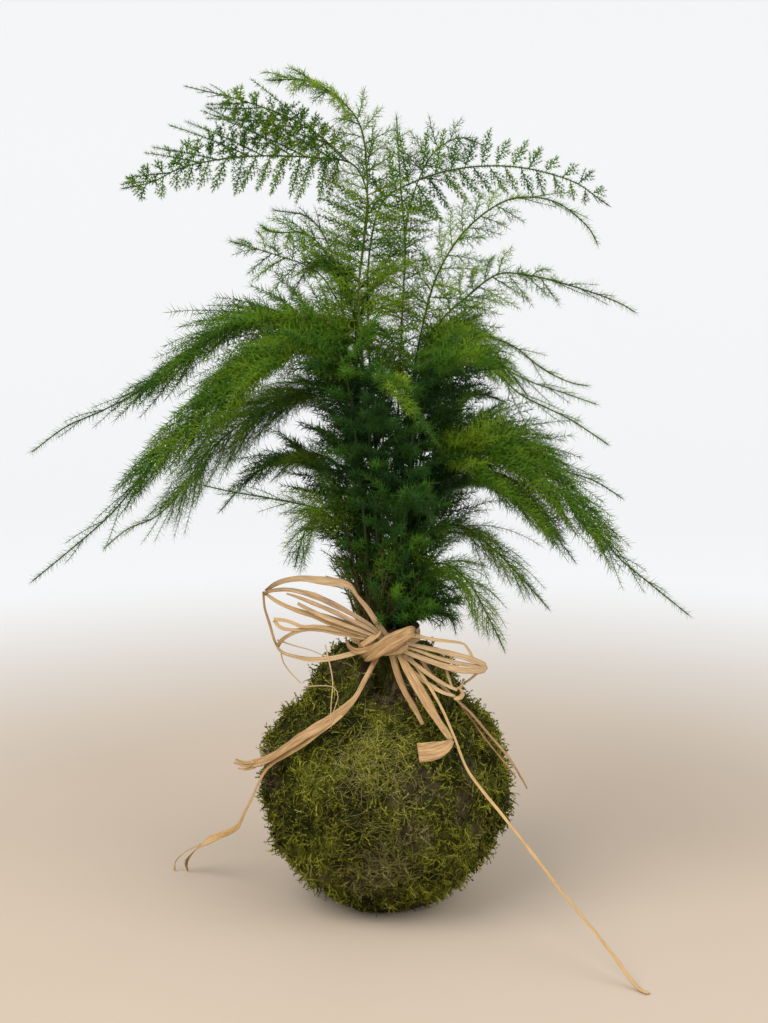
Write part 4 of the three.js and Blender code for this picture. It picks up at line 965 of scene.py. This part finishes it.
def moss_radius(polar, around):
    degrees = np.degrees(polar)
    neck_rise = NECK_RISE * smoothstep(40 - degrees, 0, 22)
    shoulder_dip = SHOULDER_DIP * np.exp(-(((degrees - 46) / 10) ** 2))
    settled = FOOT_SPREAD * smoothstep(degrees, 145, 160)
    cushions = (
        1.0 * np.sin(5 * around + 1.3) * np.sin(4.2 * polar)
        + 0.8 * np.sin(8 * around - 5 * polar)
        + 0.6 * np.sin(11 * around + 9 * polar + 0.7)
    )
    front = math.radians(PARTING_BEARING)
    from_front = np.arctan2(np.sin(around - front), np.cos(around - front))
    parting = np.exp(-((from_front / 0.26) ** 2)) * smoothstep(33 - degrees, 0, 6)
    ball = BALL_RADIUS + neck_rise + settled - shoulder_dip + cushions * np.sin(polar)
    return ball - PARTING_DEPTH * parting


def make_ripples(seed, count, shortest, longest):
    """A smooth uneven field in space, from plane waves that run all ways."""
    random = np.random.default_rng(seed)
    waves = unit(random.normal(size=(count, 3)))
    waves = waves * (2 * math.pi / random.uniform(shortest, longest, count))[:, None]
    starts = random.uniform(0, 2 * math.pi, count)
    return lambda points: np.sin(points @ waves.T + starts).sum(-1) / math.sqrt(count / 2)


lumps = make_ripples(seed=3, count=24, shortest=9, longest=22)
tangles = make_ripples(seed=4, count=40, shortest=2.5, longest=6)
patches = make_ripples(seed=5, count=16, shortest=18, longest=50)


def moss_point(polar, around):
    radius = moss_radius(polar, around)
    way = np.stack([np.sin(polar) * np.cos(around), np.sin(polar) * np.sin(around), np.cos(polar)], -1)
    rough = BALL_CENTRE + (radius - MOSS_SINK)[..., None] * way
    calm = smoothstep(np.degrees(polar), 158, 145)
    rough = rough + way * ((0.55 * lumps(rough) + 0.45 * tangles(rough) - 0.9) * calm)[..., None]
    rough[..., 2] = np.clip(rough[..., 2], 0.9, MOSS_TOP_Z)
    return rough


def dryness(points):
    """How dry and brown the moss is: in the parting, in patches at the front, and here and there."""
    dry = 0.75 * smoothstep(patches(points), 1.0, 1.9)
    for centre, reach, amount in DRY_PATCHES:
        near = np.linalg.norm(points - np.array(centre), axis=-1) / reach
        dry = np.maximum(dry, amount * smoothstep(near + 0.18 * tangles(points), 1.0, 0.45))
    return np.clip(dry, 0, 1)


# Centre, reach and how dry, with the bare spot under the knot, and for fibres their number and
# how pale they are.
BARE_SPOT = ([1, -30, 110], 12, 1.0)
DRY_PATCHES = [
    BARE_SPOT, ([-6, -27, 118], 13, 1.0), ([12, -58, 50], 12, 0.85),
    ([1, -55, 31], 16, 0.9), ([-15, -48, 22], 13, 0.8), ([34, -44, 60], 9, 0.6),
]
FIBRE_PATCHES = [
    ([-6, -53, 82], 18, 230, 0.75), ([0, -55, 30], 20, 170, 0.5), ([8, -58, 52], 14, 70, 0.4),
    ([0, -50, 62], 42, 150, 0.6),
]


def moss_skin():
    around_steps, down_steps, lining_steps = 180, 84, 8
    around = 2 * math.pi * np.arange(around_steps) / around_steps
    rows = []
    for polar in np.linspace(math.radians(179.3), math.radians(14.0), down_steps):
        rows.append(moss_point(np.full(around_steps, polar), around))
    lining = NECK_RADIUS + 0.4
    rows.append(ring(lining, around, MOSS_TOP_Z))
    inner = SOIL_RADIUS + 0.4
    low = math.asin(lining / inner)
    for polar in np.linspace(low, math.radians(179), lining_steps):
        flat = inner * math.sin(polar)
        z = max(BALL_CENTRE[2] + inner * math.cos(polar), SOIL_FOOT_Z - 0.4)
        rows.append(ring(flat, around, z))
    points = np.vstack(rows)
    tone = np.zeros((len(points), 3))
    tone[:, 0] = dryness(points)
    # The skin is painted a dark green: painted shade of the gaps between the shoots.
    tone[:, 1] = 0.16 + 0.03 * lumps(points)
    tone[:, 2] = (0.2 + 0.15 * tangles(points)) * (1 - 0.8 * tone[:, 0])
    shape = Shape()
    shape.rings(points, len(rows), around_steps, tone)
    return shape


def ball_spots(count, random, lowest=1.5):
    """Spots on the moss, evenly thick all round, with the outward direction at each."""
    height = random.uniform(-0.97, 0.95, count)
    around = random.uniform(0, 2 * math.pi, count)
    polar = np.arccos(height)
    points = moss_point(polar, around)
    step = 0.02
    down = moss_point(polar + step, around) - moss_point(polar - step, around)
    aside = moss_point(polar, around + step) - moss_point(polar, around - step)
    out = unit(np.cross(down, aside))
    kept = (points[:, 2] > lowest) & (points[:, 2] < MOSS_TOP_Z - 0.5)
    return points[kept], out[kept]


def moss_strands(seed):
    """Curved leafy strands that lie every way over the skin, painted dark at the root and light at the tip:
    painted shade deep in the moss and painted highlight on the tips.
    """
    random = np.random.default_rng(seed)
    roots, out = ball_spots(MOSS_STRANDS, random)
    total = len(roots)
    bare = smoothstep(np.linalg.norm(roots - np.array(BARE_SPOT[0]), axis=-1), 11, 8)
    loose = unit(random.normal(size=roots.shape) + np.array([0, 0, -0.25]))
    flat = unit(loose - out * np.sum(loose * out, -1, keepdims=True))
    lean = random.uniform(0.75, 1.4, (total, 1))
    way = unit(out * np.cos(lean) + flat * np.sin(lean))
    low = roots[:, 2] < 7
    way[low, 2] = 0.3 * np.abs(way[low, 2])
    side = unit(np.cross(way, out + 1e-4))
    bend = out * random.uniform(-0.25, 0.5, (total, 1)) + side * random.normal(0, 0.5, (total, 1))
    bend[low, 2] = np.abs(bend[low, 2])
    length = random.uniform(3.4, 6.0, (total, 1)) * (1 + 0.15 * np.clip(lumps(roots), -1, 1))[:, None]
    length *= 1 - 0.35 * bare[:, None]
    roots = roots - out * 0.3

    def along(share):
        return roots + (way * share + bend * share**2 * 0.6) * length

    dry = np.clip(dryness(roots) + random.uniform(-0.15, 0.12, total) + bare, 0, 1)
    fresh = 0.62 + 0.08 * patches(roots) + 0.08 * lumps(roots) + random.uniform(-0.2, 0.2, total)
    draw = random.uniform(0, 1, total) * (1 - 0.85 * bare)
    shape = Shape()
    core_width = random.uniform(0.5, 0.8, total)
    # Painted shade at the roots and painted highlight at the tips, here and on the leaves below.
    root_tone, tip_tone = tones_of(dry, fresh * 0.35, draw), tones_of(dry, fresh * 0.9, draw)
    shape.curved_needles(roots, along(0.5), along(1.0), core_width, root_tone, tip_tone)
    over = np.cross(side, way)
    for k, place in enumerate((0.3, 0.58, 0.82)):
        angle = 2.3 * k + random.uniform(-0.6, 0.6, (total, 1))
        outward = side * np.cos(angle) + over * np.sin(angle)
        forward = unit(way + bend * place * 1.2)
        reach = random.uniform(1.4, 2.3, total) * (1.1 - 0.2 * place)
        root_tone = tones_of(dry, fresh * (0.35 + 0.4 * place), draw)
        tip_tone = tones_of(dry, fresh * (0.5 + 0.4 * place) + 0.2 * place, draw)
        width = random.uniform(0.6, 0.95, total)
        shape.leaves(along(place), forward * 0.85 + outward * 0.5, out, reach, width, root_tone, tip_tone)
    return shape


def moss_fibres(seed):
    """Dry, hair-thin strands that lie in tangled patches, and dark stubs that stand out of the moss."""
    random = np.random.default_rng(seed)
    shape = Shape()
    joints, floor_gap = 6, 3
    for centre, reach, count, pale in FIBRE_PATCHES:
        for _ in range(count):
            spread = random.normal(size=3) * reach * 0.5
            start = np.array(centre) + spread
            way = unit(random.normal(size=3) * np.array([1.0, 0.3, 0.8]))
            bend = random.normal(size=3) * 0.35
            step = random.uniform(1.6, 3.0)
            points = []
            for i in range(joints):
                start = start + unit(way + bend * i / 3) * step
                from_centre = start - BALL_CENTRE
                polar = math.acos(from_centre[2] / np.linalg.norm(from_centre))
                around = math.atan2(from_centre[1], from_centre[0])
                on_moss = moss_point(np.array([polar]), np.array([around]))[0]
                lift = 1.3 + 1.4 * math.sin(math.pi * (i + 0.5) / joints) * random.uniform(0.3, 1.0)
                points.append(on_moss + unit(on_moss - BALL_CENTRE) * lift)
            if points[0][2] < floor_gap or points[-1][2] < floor_gap:
                continue
            dry = random.uniform(0.4, 0.8)
            tone = (dry, 0.55, np.clip(pale + random.uniform(-0.3, 0.3), 0, 1))
            shape.tube(np.array(points), random.uniform(0.06, 0.1), TWIG_SIDES, tone)
    roots, out = ball_spots(DARK_STUBS, random, 20)
    way = out + random.normal(size=out.shape) * 0.25
    dark = (1.0, 0.1, 0.05)
    shape.needles(roots - out, way, random.uniform(4.5, 7.0, len(roots)), 0.75, dark)
    return shape


make_piece("moss_skin", moss_skin(), MOSS, ["moss_cover"], smooth=True)
for number in (1, 2):
    make_piece(f"moss_strands_{number}", moss_strands(seed=20 + number), MOSS)
make_piece("moss_dry_strands", moss_fibres(seed=23), MOSS)


# The soil, which shows at the neck


def soil_ball():
    around_steps = 120
    around = 2 * math.pi * np.arange(around_steps) / around_steps
    profile = [(0.5, SOIL_FOOT_Z), (18.0, SOIL_FOOT_Z)]
    for degrees in np.linspace(-66, 69, 16):
        angle = math.radians(degrees)
        profile.append((SOIL_RADIUS * math.cos(angle), BALL_CENTRE[2] + SOIL_RADIUS * math.sin(angle)))
    top_z = NECK_TOP_Z - 0.4
    profile += [(NECK_RADIUS, z) for z in np.arange(NECK_FOOT_Z, NECK_TOP_Z - 1, 1.6)]
    profile += [(radius, top_z) for radius in (14.2, 12.5, 11.0, 9.5, 8.0, 6.5, 5.0, 3.5, 2.0, 0.5)]
    rows = []
    for radius, z in profile:
        row = ring(radius, around, z)
        if z > NECK_FOOT_Z:
            row = row - unit(row - UP * 100) * (0.25 * (1.4 + tangles(row * 1.7)))[:, None]
        rows.append(row)
    shape = Shape()
    shape.rings(np.vstack(rows), len(rows), around_steps, (0.0, 0.5, 0.5))
    random = np.random.default_rng(SOIL_SEED)
    for _ in range(SOIL_CRUMBS):
        outward = level_way(random.uniform(0, 2 * math.pi))
        middle = outward * CRUMBS_REACH * math.sqrt(random.uniform(0, 1)) + UP * top_z
        size = random.uniform(0.4, 1.1)
        crumb = unit(random.normal(size=(3, 3))) * size
        way = UP * size * 1.1 + crumb[:1] * 0.4
        tone = (0.0, 0.5, random.uniform(0, 1))
        shape.needles(middle[None] - UP * 0.3, way, size * 1.6, size * 1.7, tone)
    return shape


make_piece("soil", soil_ball(), SOIL, ["soil_ball"])


# Raffia: flat strips of dried palm leaf, creased along their length


def evenly(values, line, s):
    """Values that are spread evenly over a line, read at the distances s."""
    return np.interp(s, np.linspace(0, line.length, len(values)), values)


def strip(shape, points, widths, facing, random, turns=(0, 0), crease=0.25, step=1.7, shade=0.0, pale=0.0):
    """One strip. Its widths and turns in degrees are spread evenly, and facing gives the way it looks."""
    line = Line(points)
    count = max(6, int(line.length / step))
    s = np.linspace(0, line.length, count)
    centre, along = line.at(s), line.along(s)
    across = unit(np.cross(along, facing(centre)))
    out = unit(np.cross(across, along))
    angle = np.radians(evenly(turns, line, s))[:, None]
    across, out = across * np.cos(angle) + out * np.sin(angle), out * np.cos(angle) - across * np.sin(angle)
    width = evenly(widths, line, s) * evenly(random.uniform(0.9, 1.1, count // 3 + 2), line, s)
    width = width[:, None, None]
    pleats = random.uniform(-1, 1, len(PLEAT_PLACES)) * 0.5 + PLEAT_HEIGHTS
    drift = evenly(random.uniform(0.5, 1.3, 5), line, s)
    height = (crease * pleats[None] * drift[:, None])[..., None] * np.clip(width, 0, 3) / 2
    top = centre[:, None] + across[:, None] * PLEAT_PLACES[:, None] * width / 2 + out[:, None] * height
    low = top - out[:, None] * STRIP_THICKNESS
    corners = np.concatenate([top, low[:, ::-1]], axis=1)[:, ::-1]
    sides = corners.shape[1]
    mm_across = np.concatenate([PLEAT_PLACES, PLEAT_PLACES[::-1]])[::-1] * width[:, :, 0] / 2
    mm_along = np.repeat(s[:, None] * GRAIN_STRETCH, sides, 1)
    grain = np.stack([mm_across, mm_along, np.full((count, sides), random.uniform(0, 60))], -1)
    tone = (shade, pale, random.uniform(0, 1))
    shape.rings(corners.reshape(-1, 3), count, sides, tone, grain.reshape(-1, 3))


def fibre(shape, points, random):
    line = Line(points)
    s = np.linspace(0, line.length, max(5, int(line.length / 2.5)))
    radii = np.linspace(FIBRE_RADIUS, FIBRE_RADIUS * 0.5, len(s))
    shape.tube(line.at(s), radii, 4, (0.1, 0.4, random.uniform(0, 1)))


def from_ball(points):
    """Outward from the ball, turning upward near the surface that it stands on."""
    lying = 1 - smoothstep(points[:, 2:], 4, 30)
    return unit(unit(points - BALL_CENTRE) * (1 - lying) + UP * lying)


def from_knot(points):
    return unit(points - KNOT_MIDDLE)


def from_neck(points):
    return unit(points * LEVEL)


def to_front(points):
    return np.broadcast_to(TO_FRONT, points.shape)


TO_FRONT = np.array([0.1, -0.9, 0.45])
KNOT_MIDDLE = np.array([2.5, -16, 129])
FIBRE_RADIUS = 0.35
STRIP_THICKNESS = 0.24
GRAIN_STRETCH = 0.045
PLEAT_PLACES = np.array([-1.0, -0.62, -0.25, 0.1, 0.45, 0.75, 1.0])
PLEAT_HEIGHTS = np.array([0.3, -0.3, 0.4, -0.6, 0.3, -0.2, 0.4])

# The bow's strips, each with its route, its widths and its turns in degrees.
BOW_LEFT = [
    ([[1, -24, 131], [-4, -26, 138.5], [-8.5, -27, 145.5], [-13, -28, 151.5], [-15.5, -28, 155],
      [-18.5, -28, 156.6], [-24, -28, 157.5], [-30, -28, 158.2], [-37, -28, 159], [-45, -28, 158],
      [-50, -28, 156], [-53.5, -28, 153.4]],
     [2.6, 2.7, 2.5, 2.3, 1.5, 3.4, 4.0, 3.9, 2.8, 2.5, 2.2, 1.6], [0, 0, 0, 10, 40, 0, 0, 0, 10, 20, 50]),
    ([[-54.5, -28, 153], [-54, -28, 146], [-52, -28, 139], [-49, -28, 129], [-46.5, -28, 125.5],
      [-41, -28, 123.5], [-33, -28, 122], [-25, -28, 122.4], [-16, -27, 124.2], [-10, -26, 125.7],
      [-4, -24, 127]], [1.5, 1.7, 1.4, 2.0, 2.3, 2.0, 1.8], [60, 50, 30, 0, 0]),
    ([[-1, -25, 132], [-8, -28, 138.5], [-20, -30, 146], [-31, -31, 151.5], [-39, -31, 153.8],
      [-45, -31, 154.6], [-53, -29, 153], [-54.5, -28, 151.5]], 
     [1.6, 1.9, 2.5, 2.9, 1.8, 1.4], [0, 15, 0, 40]),
    ([[-1, -25, 131], [-8, -29, 136.6], [-20, -31, 143], [-31, -32, 148.2], [-38, -32, 151],
      [-44, -32, 153]], [1.3, 1.7, 2.2, 2.0, 0.8], [0, -10, 10]),
    ([[-1, -26, 130.5], [-10, -29, 135], [-21, -31.5, 139.7], [-31, -32, 144.2], [-39, -32, 148.5]],
     [1.3, 1.7, 2.3, 1.5], [10, 0, -15]),
    ([[-1, -25, 130.5], [-10, -28, 133.7], [-23, -30, 138.5], [-32, -30, 142.4], [-41, -30, 145.5],
      [-48, -29, 148.5], [-53.5, -28, 152]], [1.5, 2.0, 2.6, 2.4, 2.0, 1.6], [0, 0, 20, 50]),
    ([[-3, -25, 130.5], [-10, -27, 132.6], [-20, -29, 135.6], [-31, -30, 137.6], [-37, -30, 137.5],
      [-44, -29, 140], [-50, -28, 140.5]], [1.5, 1.7, 2.0, 1.8, 1.6, 1.8], [0, 0, 30, 0]),
    ([[-3, -25, 130], [-8.5, -27, 131.5], [-17, -28, 133.2], [-25, -29, 135], [-33, -29, 136.4],
      [-41, -29, 135.8], [-47, -29, 137], [-50, -28, 140]], [1.5, 1.8, 2.0, 1.6, 1.4, 1.6], [0, 20, 0, 0]),
    ([[-5, -26, 129.8], [-16, -27, 132.6], [-27, -28, 135.2], [-35, -29, 136], [-41, -29, 134.5],
      [-46, -29, 131.5], [-48.5, -28, 128]], [1.4, 1.6, 1.6, 1.6, 2.0], [0, 0, 0, 30]),
    ([[0, -24, 130], [-9, -26, 137.4], [-18, -26, 144.4], [-30, -27, 150], [-42, -27.5, 153.5]],
     [1.2, 1.5, 1.7, 1.0], [30, 10, 0]),
    ([[0, -24.5, 130], [-9, -26.6, 135.6], [-18, -27.4, 141], [-27, -28.4, 145.4], [-33, -28.6, 147.6]],
     [1.6, 2.2, 2.0, 0.8], [20, 0, 10]),
    ([[0, -24.2, 129.6], [-9, -26.2, 134], [-18, -27, 138.6], [-26, -28, 142], [-31, -28.4, 143.6]],
     [1.8, 2.4, 1.8, 0.7], [-15, 0, 0]),
    ([[0, -24.6, 129], [-8, -26.4, 132.6], [-16, -27.6, 136.2], [-23, -28.4, 138.8]],
     [1.8, 2.2, 1.6, 0.7], [0, 15, 0]),
]
BOW_RIGHT = [
    ([[9, -23, 132], [15, -23, 131.5], [20, -24, 130.5], [28, -26, 130], [35, -27, 129], [37.5, -27, 126],
      [40, -28, 121.5], [42.5, -29, 119]], [2.0, 1.8, 1.7, 1.6, 1.6, 1.4], [0, 20, 40, 20]),
    ([[6, -24, 129], [12, -26, 128.3], [19, -28, 127.2], [30, -31, 125.2], [39, -33, 123],
      [44.5, -34, 120.5], [43.5, -35, 118.8], [37, -35, 118.6], [30, -35, 119.6], [19, -32, 122.6],
      [6, -26, 126]],
     [1.5, 1.8, 2.2, 2.7, 2.8, 2.2, 2.6, 3.0, 2.6, 2.0, 1.6], [0, 10, 0, 0, -10, 0]),
    ([[8, -25, 127.5], [15, -27, 125.8], [22, -29.5, 123.6], [31, -32, 121.6], [38, -33.5, 120.6],
      [43, -34, 120]], [1.4, 1.7, 2.0, 2.0, 1.6], [0, 15, 0]),
    ([[43, -33, 119], [40.5, -32, 116.3], [37.7, -31, 113.5], [35, -30, 111.5]], [1.5, 1.3, 1.0], [40, 40]),
    ([[27, -33, 119.5], [28.5, -33, 114.3], [30.5, -33.5, 110], [33.5, -32.5, 110.6], [35, -31, 114]],
     [1.2, 1.4, 1.4, 1.0], [20, 40, 20]),
    ([[8, -25, 123.5], [15, -29, 118.8], [22.5, -32, 114], [28, -34, 111.3], [32, -35, 109.8]],
     [1.8, 2.1, 1.9, 1.3], [0, 10, 0]),
    ([[7, -25, 121.5], [12.5, -29, 116.4], [19.5, -32, 111.5], [26, -34, 108.2], [31, -35, 107]],
     [1.6, 1.9, 1.9, 1.2], [0, -15, 0]),
    ([[33, -35, 110.5], [34.5, -35, 108.4], [33, -35.4, 106.2], [30.5, -35.2, 106]],
     [1.2, 2.0, 2.2, 1.2], [30, 0]),
]
KNOT = [
    ([[-10, -25, 121.6], [-8.4, -28.4, 123.2], [-4, -31, 126.6], [1, -32, 130.2], [7, -31, 133.3],
      [12, -27.5, 135], [13.4, -23, 133.2]], [3.0, 5.4, 6.8, 7.2, 6.4, 5.0, 3.4], [0, 0]),
    ([[-9, -25, 131], [-11.5, -27, 128.4], [-8.5, -28.2, 126], [-3, -29, 126], [3, -29, 127.4],
      [9, -27.4, 130.4]], [2.2, 3.0, 3.4, 3.6, 3.6, 2.6], [0, 0]),
    ([[-17.8, -25, 130.6], [-16, -27, 127.4], [-12.6, -28.2, 125.8], [-8.6, -28.8, 126.8],
      [-5, -28.6, 129]], [1.8, 2.6, 3.0, 3.0, 2.2], [0, 20, 0]),
    ([[12, -24, 128], [8, -27.4, 126.4], [4, -28.2, 125.4], [-1, -28, 124.6]],
     [2.4, 3.0, 2.8, 2.2], [0, 0]),
    ([[-4, -22, 135], [-3.4, -26.6, 134], [-7, -29, 131.4], [-10.6, -28, 128.6]],
     [2.0, 3.0, 2.8, 2.0], [0, 0]),
]
LEFT_FIBRES = [
    [[-48.5, -28, 131], [-41, -28, 128.4], [-33, -29, 126.4], [-27, -30, 123.8]],
    [[-47, -28, 126], [-46, -28, 121], [-43, -28, 116.4], [-38, -31, 112]],
    [[-27, -29, 129], [-25.5, -31, 123], [-23.5, -36, 114], [-24, -41, 106], [-24.5, -46, 96]],
    [[-36.5, -33, 110.6], [-28.5, -36, 112], [-22.5, -38, 111.5], [-21, -40, 108], [-23, -43, 102],
     [-24, -46, 95]],
]

# The loose ends, each as in the bow, and then the routes and widths of the strips beside it.
TAILS = {
    "short": (
        [[3, -24, 124], [5, -29, 117], [8, -34, 110], [13, -38, 102], [16.5, -42, 96]],
        [3.2, 3.3, 3.1, 2.8, 2.0], [0, 0], []),
    "curled": (
        [[6, -25, 124], [11.4, -33, 116], [17, -38, 107.5], [22.5, -43, 99], [28.6, -49.6, 91.4]],
        [3.0, 4.2, 5.4, 5.7, 5.2, 4.0, 2.6], [0, 0, 0, 12, 0],
        [([[29.2, -50, 91.4], [27, -51.2, 89.2], [22, -52.8, 87.4], [14.2, -53.8, 86.6]],
          [2.4, 5.0, 6.6, 7.6, 8.2, 8.6])]),
    "pair": (
        [[14, -22, 124], [21, -25, 114], [30, -26, 105], [39, -27, 96.5], [48, -29, 86],
         [55.5, -28, 77], [62, -25, 66], [65, -22, 60]],
        [2.0, 2.6, 2.6, 2.4, 1.8, 0.9], [0, 15, 0],
        [([[31, -26.5, 104.4], [37.5, -27.6, 96.2], [46, -30, 84.6], [54, -29.4, 74.5],
           [59.5, -26.6, 66.5]], [0.9, 1.1, 0.9, 0.6])]),
    "long": (
        [[11, -23, 122], [19, -33, 112], [25, -38.4, 102.4], [30.2, -45, 91.6], [35.8, -49, 78],
         [43, -48.4, 67.4], [51, -49.4, 57.6], [63.4, -59.4, 44], [77, -73.4, 29.4],
         [85.6, -82, 21], [95.2, -91.8, 11], [101, -98.6, 4.4], [104.4, -102.6, 1.2],
         [108, -106.5, 0.8]],
        [1.6, 1.9, 1.7, 1.5, 1.5, 1.7, 2.3, 2.4, 2.3, 2.2, 2.0], [0, 20, 0, 0, 10, 0], []),
    "left": (
        [[-4, -24, 123], [-9, -30, 114], [-14, -35.5, 106], [-21.5, -38.6, 99.6], [-29, -40.2, 94.8],
         [-37, -40.4, 90], [-45, -37.4, 83.6], [-54, -31, 76.4], [-60.5, -26.4, 73]],
        [1.8, 2.0, 2.2, 3.6, 4.9, 5.0, 4.6, 4.4, 3.8], [0, 10, 40, 0, -10, 0],
        [([[-59.5, -27, 74.2], [-64, -24, 72.8], [-68.6, -21, 73.2]], [1.3, 1.6, 1.1]),
         ([[-59.5, -27.2, 73], [-64.5, -23.8, 71.4], [-69.5, -20.6, 71.8]], [1.4, 1.5, 1.0]),
         ([[-59, -27.4, 72], [-63.5, -24.2, 69.8], [-67.5, -21.4, 69.2]], [1.3, 1.4, 0.8])]),
    "left_floor": (
        [[-3.2, -23.6, 122.2], [-8.6, -29.2, 113.4], [-13.8, -35, 105.2], [-21, -39.2, 98],
         [-28.4, -40.8, 92.8], [-35.8, -40.8, 87], [-44.4, -37.4, 80.8], [-52.6, -31, 73.4],
         [-58.4, -25, 62.8], [-61.4, -20, 55], [-64.8, -14, 47.4], [-69.6, -4, 35.7],
         [-73.4, 2, 31], [-82.5, 12, 24], [-90, 20, 17.4], [-95.6, 24.4, 11], [-98, 26, 7.4]],
        [1.4, 1.4, 1.6, 2.2, 2.2, 1.8, 1.5, 1.7, 2.4, 3.4, 4.4, 3.4], [0, 20, 0, 10, 0],
        [([[-90.6, 20.2, 17.6], [-98.8, 26, 11.4], [-104.2, 29.4, 5], [-104.6, 29, 0.8]],
          [1.0, 1.4, 1.1, 1.0]),
         ([[-97.2, 25.6, 8.6], [-98.4, 26.6, 5.4], [-97.8, 28.2, 0.8]], [2.4, 1.6, 1.1])]),
}


def raffia_tails(random):
    for name, (points, widths, turns, beside) in TAILS.items():
        shape = Shape()
        strip(shape, points, widths, from_ball, random, turns, crease=0.16)
        for points, widths in beside:
            strip(shape, points, widths, from_ball, random)
        make_piece(f"raffia_end_{name}", shape, RAFFIA, [f"raffia_tail_{name}"])


def raffia_bow(random):
    for side, strips, fibres in (("left", BOW_LEFT, LEFT_FIBRES), ("right", BOW_RIGHT, [])):
        shape = Shape()
        for points, widths, turns in strips:
            strip(shape, points, widths, to_front, random, turns, shade=random.uniform(0, 0.12), pale=0.25)
        for points in fibres:
            fibre(shape, points, random)
        make_piece(f"raffia_bow_{side}", shape, RAFFIA, [f"raffia_loops_{side}"])


def raffia_wrap(random):
    """The turns round the neck and the knot in front of them."""
    wrap = Shape()
    steps, overlap, rise, pitch = 40, 1.03, 0.4, 1.1
    for turn in range(WRAP_TURNS):
        height = COLLAR_Z - 2.6 + pitch * turn
        radius = WRAP_RADIUS + random.uniform(-0.3, 0.4)
        slant = random.uniform(-0.9, 0.9)
        around = np.linspace(0, 2 * math.pi * overlap, steps) + random.uniform(0, 6)
        points = ring(radius, around, height + slant * np.sin(around) + rise * np.arange(steps) / steps)
        strip(wrap, points, [1.9, 2.5, 2.0, 2.6, 1.9], from_neck, random, step=2.4)
    make_piece("raffia_neck_wrap", wrap, RAFFIA, ["raffia_collar"])
    knot = Shape()
    for points, widths, turns in KNOT:
        strip(knot, points, widths, from_knot, random, turns, crease=0.35, step=1.1)
    make_piece("raffia_knot_bands", knot, RAFFIA, ["raffia_knot"])


raffia_random = np.random.default_rng(RAFFIA_SEED)
raffia_tails(raffia_random)
raffia_bow(raffia_random)
raffia_wrap(raffia_random)


# The stage


def floor_mesh():
    flat, curve, wall_top, sides = 1.25, 0.5, 1.3, 96
    profile = [(0.0, 0.0), (0.4, 0.0), (0.8, 0.0), (flat, 0.0)]
    for degrees in range(6, 91, 6):
        angle = math.radians(degrees)
        profile.append((flat + curve * math.sin(angle), curve - curve * math.cos(angle)))
    profile.append((flat + curve, wall_top))
    points = [(0.0, 0.0, 0.0)]
    for radius, z in profile[1:]:
        for k in range(sides):
            angle = 2 * math.pi * k / sides
            points.append((radius * math.cos(angle), radius * math.sin(angle), z))
    faces = [(0, 1 + k, 1 + (k + 1) % sides) for k in range(sides)]
    for row in range(len(profile) - 2):
        low, high = 1 + row * sides, 1 + (row + 1) * sides
        for k in range(sides):
            after = (k + 1) % sides
            faces.append((low + k, high + k, high + after, low + after))
    mesh = bpy.data.meshes.new("floor")
    mesh.from_pydata(points, [], faces)
    mesh.shade_smooth()
    return mesh


def floor_material():
    """Pale ground that turns into a softly glowing wall."""
    n = Nodes("pale_floor")
    place = n.place()
    distance = n.node("ShaderNodeVectorMath", {0: place}, operation="LENGTH").outputs["Value"]
    mottled = n.spread(n.noise(place, 3.0), 0.3, 0.7)
    ground = n.mix(mottled, rgb(0.49, 0.40, 0.31), rgb(0.52, 0.43, 0.34))
    start, end = GLOW_FROM_TO_M
    far = n.node("ShaderNodeMapRange", {"Value": distance, "From Min": start, "From Max": end},
                 interpolation_type="SMOOTHSTEP").outputs[0]
    colour = n.mix(far, ground, rgb(0.3, 0.3, 0.3))
    shader = n.node("ShaderNodeBsdfPrincipled", {
        "Base Color": colour, "Roughness": 0.8, "Specular IOR Level": 0.2,
        "Emission Color": rgb(0.97, 0.985, 1.0), "Emission Strength": n.math("MULTIPLY", far, WALL_GLOW),
    })
    n.node("ShaderNodeOutputMaterial", {"Surface": shader.outputs[0]})
    return n.material


def add_stage():
    """A pale round floor that curves up into a bright wall on every side, under a white sky."""
    floor = add_object("floor", floor_mesh())
    floor.data.materials.append(floor_material())
    world = bpy.data.worlds.new("studio")
    bpy.context.scene.world = world
    world.use_nodes = True
    background = world.node_tree.nodes["Background"]
    background.inputs["Color"].default_value = rgb(0.97, 0.98, 1.0)
    background.inputs["Strength"].default_value = SKY_STRENGTH


def add_light(name, place, target, size, power, colour):
    data = bpy.data.lights.new(name, "AREA")
    data.shape = "RECTANGLE"
    data.size, data.size_y = size
    data.energy = power
    data.color = colour
    light = add_object(name, data)
    light.location = place
    aim = Vector(target) - Vector(place)
    light.rotation_euler = aim.to_track_quat("-Z", "Y").to_euler()


def add_camera():
    data = bpy.data.cameras.new("camera")
    data.sensor_width = SENSOR_MM
    data.lens = FOCAL_PX / PHOTO_HEIGHT_PX * SENSOR_MM
    camera = add_object("camera", data)
    camera.location = CAMERA_PLACE
    camera.rotation_euler = (math.radians(90 - CAMERA_DOWN_DEGREES), 0, 0)
    bpy.context.scene.camera = camera


add_stage()
add_light("key", place=(-0.75, -0.7, 1.15), target=(0, 0, 0.22), size=(1.1, 0.9), power=17,
          colour=(1.0, 0.98, 0.94))
add_light("fill", place=(0.9, -0.6, 0.8), target=(0, 0, 0.2), size=(1.0, 1.0), power=9,
          colour=(0.99, 0.99, 1.0))
add_camera()

bpy.context.scene.view_settings.view_transform = "Standard"
